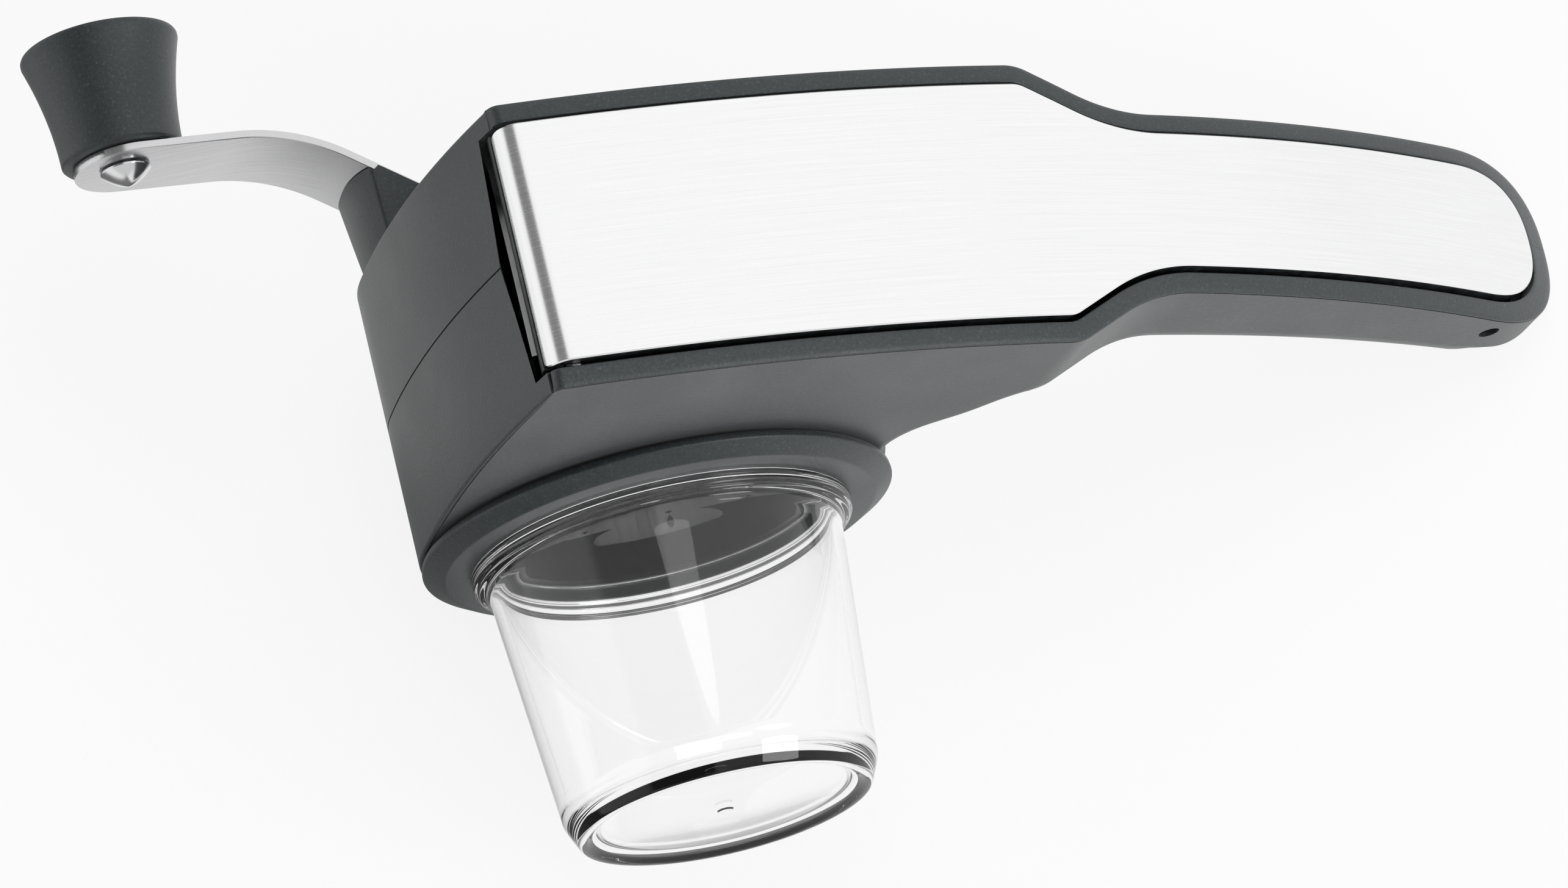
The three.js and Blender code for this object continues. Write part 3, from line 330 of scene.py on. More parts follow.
    # inside of the wall, which stays short of the tip
    inner = planHalf(h["wall"])
    short = (h["tipX"] - h["cavityEnd"] - h["endX"]) / (h["tipX"] - h["wall"] * h["tipInset"] - h["endX"])
    beyond = np.maximum(inner[:, 0] - h["endX"], 0)
    inner[:, 0] -= beyond * (1 - short)
    floor = p + inward * h["wall"]
    lipX = np.maximum(inner[:, 0], floor[0, 0] + 0.02 + 0.004 * station)
    lipZ = np.maximum(topZ(lipX, -lip) - drop, bottom(lipX) + h["lipRoom"])
    lipZ[lipX > inner[:, 0]] = h["noseTopZ"] + 0.05
    add(np.stack([lipX, lipZ], 1), inner[:, 1])
    floor[bodyCount:, 0] = inner[bodyCount:, 0]
    floor[bodyCount:, 1] = bottom(inner[bodyCount:, 0]) + h["wall"]
    ceiling = np.maximum(topZ(floor[:, 0], -h["lipDepth"]) - 0.3, bottom(floor[:, 0]) + 1.0)
    floor[bodyCount:, 1] = np.minimum(floor[bodyCount:, 1], ceiling[bodyCount:])
    reachIn = np.maximum(halfHere - h["wall"], 0.3)
    reachIn[bodyCount:] = np.maximum(inner[bodyCount:, 1], 0.3)
    corner = np.minimum(edge, reachIn * 0.8)
    corner = corner * smoothStep(station, 0, 12)
    lowWall = floor + inward * (corner * 0.7)[:, None]
    lowWall[bodyCount:, 1] = np.minimum(lowWall[bodyCount:, 1], ceiling[bodyCount:] + 0.1)
    add(lowWall, reachIn)
    add(floor + (lowWall - floor) * 0.17, reachIn - corner * 0.5)
    add(floor, reachIn - corner)
    add(floor, np.minimum(middle, reachIn))
    ring = np.stack(rings, 1)
    size = ring.shape[1]
    faces = gridFaces(count, size, False, True).tolist()
    faces.append(list(range(size)))
    faces.append(list(range((count - 1) * size, count * size))[::-1])
    return makeMesh(name, ring, faces, 30)


# half width of the side at points on the side face
def sideAt(at, halfHere, bodyCount):
    y = halfAt(at[:, 0])
    y[bodyCount + 20:] = halfHere[bodyCount + 20:]
    return y


# takes the cutters' shapes out of a piece and removes the cutters
def cutOut(piece, cutters, sharp=30):
    for cutter in cutters:
        change = piece.modifiers.new("cut", "BOOLEAN")
        change.operation = "DIFFERENCE"
        change.solver = "EXACT"
        change.object = cutter
        bpy.context.view_layer.update()
        result = bpy.data.meshes.new_from_object(piece.evaluated_get(bpy.context.evaluated_depsgraph_get()))
        piece.modifiers.clear()
        old = piece.data
        piece.data = result
        bpy.data.meshes.remove(old)
    for cutter in cutters:
        bpy.data.objects.remove(cutter)
    work = bmesh.new()
    work.from_mesh(piece.data)
    bmesh.ops.remove_doubles(work, verts=work.verts, dist=2e-7)
    bmesh.ops.dissolve_degenerate(work, edges=work.edges, dist=1e-7)
    bmesh.ops.collapse(work, edges=[e for e in work.edges if not e.is_manifold and e.calc_length() < 2e-4])
    bmesh.ops.delete(work, geom=[edge for edge in work.edges if edge.is_wire], context="EDGES")
    bmesh.ops.holes_fill(work, edges=[edge for edge in work.edges if edge.is_boundary], sides=8)
    bmesh.ops.recalc_face_normals(work, faces=work.faces)
    openEdges = sum(not edge.is_manifold for edge in work.edges)
    print(piece.name, "cut,", openEdges, "open edges", round(work.calc_volume() * 1e6, 3), "ml")
    work.to_mesh(piece.data)
    work.free()
    piece.data.validate()
    smoothed(piece, sharp)


# a round bar along y
def barY(name, radius, low, high, centre=(0, 0), steps=64):
    return turned(name, [(0, low), (radius, low), (radius, high), (0, high)], centre, steps, False)


# a prism: a closed outline in y and z carried from x = low to x = high, and down by drop on the way
def prismX(name, outlineYZ, low, high, drop=0):
    o = np.array(outlineYZ, float)
    n = len(o)
    points = np.concatenate([np.column_stack([np.full(n, low), o]),
                             np.column_stack([np.full(n, high), o - [0, drop]])])
    mesh = bpy.data.meshes.new(name)
    sides = [[i, (i + 1) % n, (i + 1) % n + n, i + n] for i in range(n)]
    mesh.from_pydata(placed(points), [], sides + [list(range(n))[::-1], list(range(n, 2 * n))])
    work = bmesh.new()
    work.from_mesh(mesh)
    bmesh.ops.recalc_face_normals(work, faces=work.faces)
    work.to_mesh(mesh)
    work.free()
    piece = bpy.data.objects.new(name, mesh)
    bpy.context.scene.collection.objects.link(piece)
    return piece


lever = {
    "pinX": -36.6, "pinZ": 71.6, "room": 6.6,
    "inset": 4.4, "rise": 2.0, "sheet": 0.8, "roll": 4.5, "rollX": -42, "rollFootZ": 72.3, "corner": 3.5,
    "slotEndZ": 68.9, "slotMidZ": 65.3, "slotHalf": 22.9, "slotTop": 90, "slotReach": 20,
    "bevelX": -43.0, "bevelDrop": 22.0, "soft": 0.22, "cornerShare": 0.35,
}
screws = {"nose": (-34, 48), "neck": (50, 49), "handle": (120, 36), "drum": (19.1, -33.1),
          "head": 3.3, "deep": 1.8}
hangHole = {"x": 161, "z": 21, "radius": 2.0}
bores = {"collar": 36.3, "collarLow": -40, "bush": 6.7, "inner": 20, "outer": 40, "hang": 30}


# the lever's slot and hinge seat, the hanging hole, and the collar's bore or the bush's and screw heads
def shellCutters(side):
    s = lever
    slot = np.array([(-s["slotHalf"], s["slotEndZ"]), (0, s["slotMidZ"]), (s["slotHalf"], s["slotEndZ"]),
                     (s["slotHalf"], s["slotTop"]), (-s["slotHalf"], s["slotTop"])])
    cutters = [
        prismX("cutSlot", slot, s["pinX"] - s["slotReach"], s["pinX"]),
        # bevels the slot's edge on the inside, so that it ends thin
        prismX("cutBevel", slot, s["bevelX"], s["pinX"] + 1, s["bevelDrop"]),
        barY("cutSeat", s["room"], -s["slotHalf"], s["slotHalf"], (s["pinX"], s["pinZ"]), 96),
        barY("cutHang", hangHole["radius"], -bores["hang"], bores["hang"],
             (hangHole["x"], hangHole["z"]), 40),
    ]
    if side < 0:
        cutters.append(barY("cutCollar", bores["collar"], bores["collarLow"], -bores["inner"], (0, 0), 160))
    else:
        cutters.append(barY("cutBush", bores["bush"], bores["inner"], bores["outer"], (0, 0), 64))
        for place in ("nose", "neck", "handle", "drum"):
            x, z = screws[place]
            face = float(halfAt(np.array([x]))[0])
            low = face - screws["deep"]
            cutters.append(barY("cutScrew", screws["head"], low, bores["outer"], (x, z), 40))
    return cutters


shells = {}
for name, node, side in (("jarSideShell", "housing_jar_side", -1),
                         ("crankSideShell", "housing_crank_side", 1)):
    shell = halfShell(name, side)
    cutOut(shell, shellCutters(side))
    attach(shell, "housing")
    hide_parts(node)
    shells[name] = shell
print("housing shells made")

collar = {"bore": 33.7, "spigot": 36, "outer": 43.5, "side": 26.7, "step": 2.0, "face": 4.2, "flat": 39.9}
# a turned profile: bore, spigot in the shell, a fine gap at the side, the step and a bevel to the flat face
def collarRing():
    c = collar
    y = lambda height: -c["side"] - height
    profile = softened([
        (c["bore"], y(c["face"])), (c["bore"], -24.3), (c["spigot"], -24.3), (c["spigot"], y(0.3)),
        (c["outer"] - 1.0, y(0.3)), (c["outer"] - 1.0, y(0.65)), (c["outer"] - 0.15, y(0.8)),
        (c["outer"], y(c["step"])), (c["flat"], y(c["face"])),
    ], 0.35, 4)
    return turned("collarRing", profile, steps=192)
ring = collarRing()
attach(ring, "housing")
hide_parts("collar_ring")
print("collar made")

jarValues = {"neck": 33.3, "wall": 1.9, "bead": 35.1, "shoulder": 33.0, "heel": 28.9, "foot": 27.1,
             "recess": 24.3, "base": 2.6, "top": -31.2, "low": -84.1, "mouth": -28.2}
# a turned profile: mouth, bead, tapered wall, heel and foot ring, then up again inside the wall
def jarShape():
    j = jarValues
    t, b = j["top"], j["low"]
    outer = softened([
        (j["neck"] - j["wall"], j["mouth"]), (j["neck"], j["mouth"]), (j["neck"], t), (j["bead"], t),
        (j["bead"], t - 0.9), (j["bead"] - 0.35, t - 1.15), (j["bead"] - 0.05, t - 1.45),
        (j["bead"] - 0.05, t - 2.2), (j["bead"] - 0.75, t - 2.7), (j["bead"] - 0.9, t - 3.1),
        (j["shoulder"], t - 3.5), (j["shoulder"] - 0.5, t - 5.2),
        (j["heel"] + 0.05, b + 4.6), (j["foot"] - 0.1, b + 0.25), (j["foot"] - 0.6, b),
        (j["recess"] + 1.3, b), (j["recess"], b + 0.8), (1.5, b + 0.8), (1.25, b + 0.65), (0.0, b + 0.65),
    ], 0.5, 5, closed=False)
    inner = softened([
        (0.0, b + 0.8 + j["base"]), (j["recess"] - 0.5, b + 0.8 + j["base"]),
        (j["heel"] - j["wall"] - 0.2, b + j["base"] + 3.4),
        (j["shoulder"] - 0.5 - j["wall"], t - 5.2), (j["neck"] - j["wall"], t - 3),
    ], 2.2, 8, closed=False)
    return turned("catchJar", np.concatenate([outer, inner]), steps=192, sharp=40)
jar = jarShape()
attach(jar, "jar")
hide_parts("jar")
print("jar made")

# the steel cover: a thin closed loop across the plan, carried along the roll and the long top arc
def leverCover():
    s = lever
    centreX = s["rollX"] + s["roll"]
    centreZ = float(topZ(centreX, s["rise"])) - s["roll"]
    turnSteps = np.radians(np.linspace(180, 90, 28))
    roll = np.stack([centreX + s["roll"] * np.cos(turnSteps), centreZ + s["roll"] * np.sin(turnSteps)], 1)
    rollIn = np.stack([centreX + (s["roll"] - s["sheet"]) * np.cos(turnSteps),
                       centreZ + (s["roll"] - s["sheet"]) * np.sin(turnSteps)], 1)
    foot = np.array([[s["rollX"], s["rollFootZ"]]])
    footIn = foot + [s["sheet"], 0]
    plan = planHalf(s["inset"], centreX)
    plan = plan[plan[:, 0] > centreX + 0.05]
    top = np.stack([plan[:, 0], topZ(plan[:, 0], s["rise"])], 1)
    low = np.stack([plan[:, 0], topZ(plan[:, 0], s["rise"] - s["sheet"])], 1)
    outer = np.concatenate([foot, roll, top])
    inner = np.concatenate([footIn, rollIn, low])
    half = np.concatenate([np.full(len(roll) + 1, housing["half"] - s["inset"]), plan[:, 1]])
    run = np.concatenate([[0], np.cumsum(np.linalg.norm(np.diff(outer, axis=0), axis=1))])
    corner = np.clip(s["corner"] - run, 0, s["corner"])
    half = half - (s["corner"] - np.sqrt(s["corner"] ** 2 - corner ** 2)) * s["cornerShare"]
    soft = s["soft"]
    rings = []
    for across in np.linspace(-1, 1, 41):
        rings.append(np.stack([outer[:, 0], across * np.maximum(half - soft, 0), outer[:, 1]], 1))
    for share in (0.3, 0.7):
        at = outer * (1 - share) + inner * share
        rings.append(np.stack([at[:, 0], half, at[:, 1]], 1))
    for across in np.linspace(1, -1, 9):
        rings.append(np.stack([inner[:, 0], across * np.maximum(half - soft, 0), inner[:, 1]], 1))
    for share in (0.7, 0.3):
        at = outer * (1 - share) + inner * share
        rings.append(np.stack([at[:, 0], -half, at[:, 1]], 1))
    ring = np.stack(rings, 1)
    size = ring.shape[1]
    faces = [gridFaces(len(ring), size, False, True)]
    # the front edge is closed across the sheet: the top row joins the bottom row
    bottom = np.interp(np.linspace(0, 40, 41), np.linspace(0, 40, 9), np.arange(9)).round().astype(int)
    frontTop = np.arange(41)
    frontLow = 43 + 8 - bottom
    for base, flip in ((0, False), ((len(ring) - 1) * size, True)):
        quads = np.stack([frontTop[:-1], frontTop[1:], frontLow[1:], frontLow[:-1]], 1) + base
        faces.append(quads[:, ::-1] if flip else quads)
        faces.append(np.array([[40, 41, 42, 43]]) + base)
        faces.append(np.array([[0, size - 1, size - 2, 51]]) + base)
    return makeMesh("leverCover", ring, np.concatenate(faces), 34)
cover = leverCover()
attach(cover, "lever")
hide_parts("lever_plate")
print("lever cover made")


crank = {"length": 84, "thick": 1.5, "knobY": 50.6, "hubY": 31, "slope": 33, "bendX": -65, "bend": 36,
         "half": 10.3, "middleZ": -0.9, "leftX": -93.0, "rightX": 9.8, "soft": 0.14}
# the underside of the strap over x: flat, bend, slope, bend back, flat
def strapLine():
    c = crank
    a = radians(c["slope"])
    run, drop = c["bend"] * sin(a), c["bend"] * (1 - cos(a))
    slopeRun = (c["knobY"] - c["hubY"] - 2 * drop) / tan(a)
    lowX = c["bendX"] + 2 * run + slopeRun
    t = np.linspace(0, a, 24)
    upper = np.stack([c["bendX"] + c["bend"] * np.sin(t), c["knobY"] - c["bend"] + c["bend"] * np.cos(t)], 1)
    back = t[::-1]
    lower = np.stack([lowX - c["bend"] * np.sin(back), c["hubY"] + c["bend"] - c["bend"] * np.cos(back)], 1)
    s = np.linspace(0, 1, 6)[1:-1, None]
    between = upper[-1] * (1 - s) + lower[0] * s
    left = np.stack([np.linspace(c["leftX"], c["bendX"], 40)[:-1], np.full(39, c["knobY"])], 1)
    right = np.stack([np.linspace(lowX, c["rightX"], 36)[1:], np.full(35, c["hubY"])], 1)
    return np.concatenate([left, upper, between, lower, right])


# half width of a bar with two round ends
def roundEnds(x, low, high, r):
    d = np.maximum(np.maximum(low + r - x, x - (high - r)), 0)
    return np.sqrt(np.maximum(r * r - np.minimum(d, r) ** 2, 0))


# a flat bar across the line, carried along it, with round ends and finely broken edges
def strap():
    c = crank
    line = strapLine()
    # closer stations near the round ends
    extra = c["half"] * (1 - np.cos(np.linspace(0, pi / 2, 24)))
    xs = np.unique(np.concatenate([line[:, 0], c["leftX"] + extra, c["rightX"] - extra]))
    ys = np.interp(xs, line[:, 0], line[:, 1])
    along = np.gradient(np.stack([xs, ys], 1), axis=0)
    along /= np.linalg.norm(along, axis=1)[:, None]
    out = np.stack([-along[:, 1], along[:, 0]], 1)
    half = roundEnds(xs, c["leftX"], c["rightX"], c["half"])
    rings = []
    loop = [(-1, 1, 0), (-0.5, 1, 0), (0, 1, 0), (0.5, 1, 0), (1, 1, 0), (1, 0.9, 1), (1, 0.1, 1), (1, 0, 0),
            (0.5, 0, 0), (0, 0, 0), (-0.5, 0, 0), (-1, 0, 0), (-1, 0.1, 1), (-1, 0.9, 1)]
    for across, up, edge in loop:
        at = np.stack([xs, ys], 1) + out * (c["thick"] * up)
        z = c["middleZ"] + across * (half if edge else np.maximum(half - c["soft"], 0))
        rings.append(np.stack([at[:, 0], at[:, 1], z], 1))
    ring = np.stack(rings, 1)
    return makeMesh("crankStrap", ring, gridFaces(len(ring), ring.shape[1], False, True), 34)
arm = strap()
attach(arm, "crank")
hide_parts("crank_arm")

footValues = {"half": 10.8, "reach": 43.3, "base": 27.5, "draft": 1.6, "crease": 0.7, "heel": 2.4,
              "wall": 0.42, "wallRise": 1.2, "gap": 0.25}
# the moulding under the strap: a loop in the plan with two straight sides, an end that follows a circle about
# the shaft and a round end behind it; the loop grows from the base up to the strap, whose edges it holds
# between two low walls, and both ends are closed by loops that shrink onto the middle line
def strapFoot():
    c, f = crank, footValues
    line = strapLine()
    under = lambda x: np.interp(x, line[:, 0], line[:, 1]) - f["gap"]
    bend = np.linspace(0, 1, 9)[:, None]
    sideSteps, endSteps = 44, 20
    sideCount = sideSteps + len(bend) - 1 + endSteps - 1

    def plan(inset):
        h, r = f["half"] - inset, f["reach"] - inset
        corner = np.sqrt(r * r - h * h)
        parts = []
        for side, reach in ((1, f["crease"]), (-1, f["heel"])):
            t = np.linspace(np.arcsin(h / r) - reach / r, 0, endSteps)
            x = np.linspace(0, reach - corner, sideSteps)
            end = np.stack([-r * np.cos(t), r * np.sin(t)], 1)
            turn = ((1 - bend) ** 2 * [reach - corner, h] + 2 * bend * (1 - bend) * [-corner, h]
                    + bend ** 2 * end[0])
            half = np.concatenate([np.stack([x, np.full_like(x, h)], 1), turn[1:], end[1:]])
            half[:, 1] *= side
            parts.append(half if side > 0 else half[::-1][1:])
        t = np.linspace(-pi / 2, pi / 2, 34)[1:-1]
        parts.append(np.stack([h * np.cos(t), h * np.sin(t)], 1))
        return np.concatenate(parts)

    top = plan(0)
    # both sides shrink onto the same points of the middle line
    behind = np.clip(top[:sideCount, 0], -34, 0)
    middleX = np.concatenate([behind, behind[::-1][1:], np.zeros(len(top) - 2 * sideCount + 1)])
    middle = np.stack([middleX, np.zeros(len(top))], 1)
    # the walls end where the outline turns into the end
    rise = (f["wallRise"] + f["gap"]) * smoothStep(top[:, 0], -40.9, -40.2)

    def ring(inset, share, shrink, lift):
        at = middle + (plan(inset) - middle) * shrink
        y = f["base"] + (under(at[:, 0]) - f["base"]) * share + rise * lift
        return np.stack([at[:, 0], y, at[:, 1] + c["middleZ"]], 1)

    levels = [(f["draft"], 0, k, 0) for k in (0, 0.5, 0.94)]
    levels += [(f["draft"] * (1 - share), share, 1, share) for share in np.linspace(0.012, 1, 16)]
    levels += [(f["wall"] * 0.5, 1, 1, 1.04), (f["wall"], 1, 1, 0.95), (f["wall"] + 0.02, 1, 1, 0.0)]
    levels += [(f["wall"], 1, k, 0) for k in (0.9, 0.6, 0.3, 0)]
    grid = np.array([ring(*level) for level in levels])
    return makeMesh("strapFoot", grid, gridFaces(len(grid), len(top), False, True), 30)
foot = strapFoot()
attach(foot, "crank")
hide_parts("crank_hub")

knobValues = {"base": 11.2, "top": 14.46, "swell": 1.9, "seat": 53.3, "foot": 52.4, "height": 20,
              "recess": 7.2, "bore": 2.7, "rim": 12.4, "sink": 1.8}
# the side swells from the base radius with a power of the height; the underside has a recess for the washer
def knobShape():
    k = knobValues
    y1 = k["seat"] + k["height"] + 1
    h = np.linspace(0, 1, 40)
    side = np.stack([k["base"] + (k["top"] - k["base"]) * h ** k["swell"], k["seat"] + k["height"] * h], 1)
    foot = np.array([(k["bore"], k["seat"]), (k["recess"], k["seat"]), (k["recess"], k["foot"]),
                     (k["base"] - 1.0, k["foot"]), (k["base"] - 0.35, k["foot"] + 0.2),
                     (k["base"] - 0.05, k["foot"] + 0.55)])
    top = np.array([(k["top"], y1 - 0.45), (k["top"] - 0.18, y1 - 0.12), (k["top"] - 0.5, y1),
                    (k["rim"] + 0.2, y1), (k["rim"], y1 - 0.2), (k["rim"], y1 - k["sink"]),
                    (k["bore"], y1 - k["sink"])])
    return turned("knobBody", np.concatenate([foot, side, top]), (-crank["length"], 0), 128)
knob = knobShape()
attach(knob, "knob")
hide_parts("knob")

rivetValues = {"head": 4.6, "flank": 0.4, "cone": 2.8, "shank": 2.4, "top": 69.3, "cap": 4.4,
               "capHeight": 1.4}
# the knob's axle: a swelling cone under the strap, a shank through it and a flat cap inside the knob
def knobRivet():
    k = rivetValues
    seat = crank["knobY"] - 0.3
    r = k["head"] * np.cos(np.linspace(pi / 2, 0, 22))
    cone = np.stack([r, seat - k["flank"] - k["cone"] * (1 - (r / k["head"]) ** 1.5)], 1)
    end = k["top"] + k["capHeight"]
    above = np.array([(k["head"] + 0.04, seat - k["flank"] + 0.1), (k["head"] + 0.04, seat - 0.08),
                      (k["head"] - 0.05, seat), (k["shank"], seat), (k["shank"], k["top"]),
                      (k["cap"], k["top"]), (k["cap"], end), (0, end)])
    return turned("knobRivet", np.concatenate([cone, above]), (-crank["length"], 0), 96, False, 36)
rivet = knobRivet()
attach(rivet, "crank")
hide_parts("knob_rivet")
print("crank and knob made")


# a material, its node tree and its main shader
def newMaterial(name):
    material = bpy.data.materials.new(name)
    material.use_nodes = True
    tree = material.node_tree
    shader = next(n for n in tree.nodes if n.type == "BSDF_PRINCIPLED")
    return material, tree, shader


# a node with some of its inputs set
def addNode(tree, kind, **sockets):
    node = tree.nodes.new(kind)
    for key, value in sockets.items():
        node.inputs[key].default_value = value
    return node


# the piece's own coordinates times a scale
def objectCoordinates(tree, scale):
    coordinates = tree.nodes.new("ShaderNodeTexCoord")
    mapping = tree.nodes.new("ShaderNodeMapping")
    mapping.inputs["Scale"].default_value = scale
    tree.links.new(coordinates.outputs["Object"], mapping.inputs["Vector"])
    return mapping.outputs["Vector"]


# runs from one colour to another while the source runs from lowPos to highPos
def ramp(tree, source, low, high, lowPos=0.3, highPos=0.7):
    node = tree.nodes.new("ShaderNodeValToRGB")
    node.color_ramp.elements[0].position = lowPos
    node.color_ramp.elements[1].position = highPos
    node.color_ramp.elements[0].color = low if len(low) == 4 else (*low, 1)
    node.color_ramp.elements[1].color = high if len(high) == 4 else (*high, 1)
    tree.links.new(source, node.inputs["Fac"])
    return node


# moulded plastic: spark-eroded grain as bump, fine light and dark specks in it, the brightest of them painted
# sparkle highlights, and broad changes of gloss
def mouldedPlastic(name, colour, roughness, grain, depth, gleam=0.5, bloom=0.0):
    material, tree, shader = newMaterial(name)
    vector = objectCoordinates(tree, (1, 1, 1))
    fine = addNode(tree, "ShaderNodeTexNoise", Scale=grain, Detail=2.0, Roughness=0.6)
    specks = addNode(tree, "ShaderNodeTexNoise", Scale=grain * 0.7, Detail=1.0)
    broad = addNode(tree, "ShaderNodeTexNoise", Scale=45.0, Detail=2.0)
    for texture in (fine, specks, broad):
        tree.links.new(vector, texture.inputs["Vector"])
    tint = ramp(tree, specks.outputs["Fac"], [c * 0.6 for c in colour], [c * 1.5 for c in colour], 0.32, 0.68)
    # the brightest specks, at three times the colour, are painted sparkle highlights; the darker and lighter
    # specks below them are tone that varies at random
    light = tint.color_ramp.elements.new(0.74)
    light.color = (*[c * 3.2 for c in colour], 1)
    tree.links.new(tint.outputs["Color"], shader.inputs["Base Color"])
    gloss = ramp(tree, broad.outputs["Fac"], (roughness - 0.03,) * 3, (roughness + 0.05,) * 3)
    tree.links.new(gloss.outputs["Color"], shader.inputs["Roughness"])
    bump = addNode(tree, "ShaderNodeBump", Strength=0.6, Distance=depth)
    tree.links.new(fine.outputs["Fac"], bump.inputs["Height"])
    tree.links.new(bump.outputs["Normal"], shader.inputs["Normal"])
    shader.inputs["Specular IOR Level"].default_value = gleam
    shader.inputs["Sheen Weight"].default_value = bloom
    shader.inputs["Sheen Roughness"].default_value = 0.45
    return material


# brushed steel: long streaks along the lever, as roughness, tone and a faint bump
def brushedSteel(name, colour, roughness, scale, strength, change=0.04):
    material, tree, shader = newMaterial(name)
    vector = objectCoordinates(tree, scale)
    streak = addNode(tree, "ShaderNodeTexNoise", Scale=1.0, Detail=4.0, Roughness=0.6)
    tree.links.new(vector, streak.inputs["Vector"])
    tint = ramp(tree, streak.outputs["Fac"], [c * (1 - change) for c in colour], colour, 0.35, 0.65)
    tree.links.new(tint.outputs["Color"], shader.inputs["Base Color"])
    gloss = ramp(tree, streak.outputs["Fac"], (roughness - change,) * 3, (roughness + change,) * 3,
                 0.35, 0.65)
    tree.links.new(gloss.outputs["Color"], shader.inputs["Roughness"])
    bump = addNode(tree, "ShaderNodeBump", Strength=strength, Distance=0.00002)
    tree.links.new(streak.outputs["Fac"], bump.inputs["Height"])
    tree.links.new(bump.outputs["Normal"], shader.inputs["Normal"])
    shader.inputs["Metallic"].default_value = 1.0
    return material


# clear plastic: all light passes, and the wall takes up a little grey on the way
def clearPlastic(name):
    material, tree, shader = newMaterial(name)
    shader.inputs["Base Color"].default_value = (1, 1, 1, 1)
    shader.inputs["Roughness"].default_value = 0.02
    shader.inputs["IOR"].default_value = 1.45
    shader.inputs["Transmission Weight"].default_value = 1.0
    smoke = addNode(tree, "ShaderNodeVolumeAbsorption", Color=(0.1, 0.1, 0.1, 1), Density=11.0)
    output = next(n for n in tree.nodes if n.type == "OUTPUT_MATERIAL")
    tree.links.new(smoke.outputs["Volume"], output.inputs["Volume"])
    return material


finishes = {
    "grey": mouldedPlastic("greyPlastic", (0.0105, 0.0165, 0.0185), 0.46, 2700.0, 0.0001, 0.72, 0.22),
    "black": mouldedPlastic("blackPlastic", (0.006, 0.006, 0.007), 0.30, 900.0, 0.00001),
    "core": mouldedPlastic("corePlastic", (0.024, 0.028, 0.030), 0.30, 700.0, 0.000012, 0.5),
    "cover": brushedSteel("coverSteel", (0.95, 0.95, 0.955), 0.24, (40, 5200, 40), 0.18, 0.055),
    "strap": brushedSteel("strapSteel", (0.67, 0.67, 0.68), 0.26, (60, 60, 3800), 0.25, 0.05),
    "drum": brushedSteel("drumSteel", (0.86, 0.86, 0.87), 0.36, (900, 60, 900), 0.1, 0.06),
    "bright": brushedSteel("turnedSteel", (0.80, 0.80, 0.81), 0.18, (500, 500, 500), 0.05),
    "clear": clearPlastic("jarPlastic"),
}


# one finish in place of what the piece had
def finish(piece, key):
    piece.data.materials.clear()
    piece.data.materials.append(finishes[key])


for piece, key in ((shells["jarSideShell"], "grey"), (shells["crankSideShell"], "grey"), (ring, "grey"),
                   (jar, "clear"), (cover, "cover"), (arm, "strap"), (foot, "grey"), (knob, "grey"),
                   (rivet, "bright")):
    finish(piece, key)
nodeFinish = {
    "shaft_bush": "black", "lever_pin": "bright", "feed_chute": "grey", "lever_core": "core",
    "press_foot": "grey", "foot_screw_front": "bright", "foot_screw_rear": "bright",
    "grating_drum": "drum", "drum_rim": "black", "drum_hub": "black", "drive_shaft": "bright",
    "crank_screw": "bright", "knob_washer": "bright", "knob_cap": "grey",
    "housing_screw_nose": "bright", "housing_screw_neck": "bright", "housing_screw_handle": "bright",
    "housing_screw_drum": "bright",
}
for node, key in nodeFinish.items():
    finish(nodes[node], key)
print("finishes given")

# a value that runs smoothly from one level to another while the source runs from low to high
def mapped(tree, source, low, high, fromLevel=0.0, toLevel=1.0):
    node = addNode(tree, "ShaderNodeMapRange")
    node.interpolation_type = "SMOOTHSTEP"
    for key, value in (("From Min", low), ("From Max", high), ("To Min", fromLevel), ("To Max", toLevel)):
        node.inputs[key].default_value = value
    tree.links.new(source, node.inputs["Value"])
    return node.outputs["Result"]


# one operation on two values, each a number or a socket
def maths(tree, operation, a, b):
    node = tree.nodes.new("ShaderNodeMath")
    node.operation = operation
    for place, value in enumerate((a, b)):
        if isinstance(value, (int, float)):
            node.inputs[place].default_value = value
        else:
            tree.links.new(value, node.inputs[place])
    return node.outputs[0]


studio = {
    "floorTone": 0.9, "shownShare": 0.86, "mirrorShare": 0.8, "shadeBandLevel": 0.05,
    "shadeBand": (-0.27, -0.20, -0.085, -0.065), "shadeBandSide": (0.005, 0.026), "shadeBandEnd": (-0.16, -0.14),
    "skyLevel": 0.66, "skyLeft": 0.22, "gapLevel": 0.2, "frontLevel": 0.7,
}
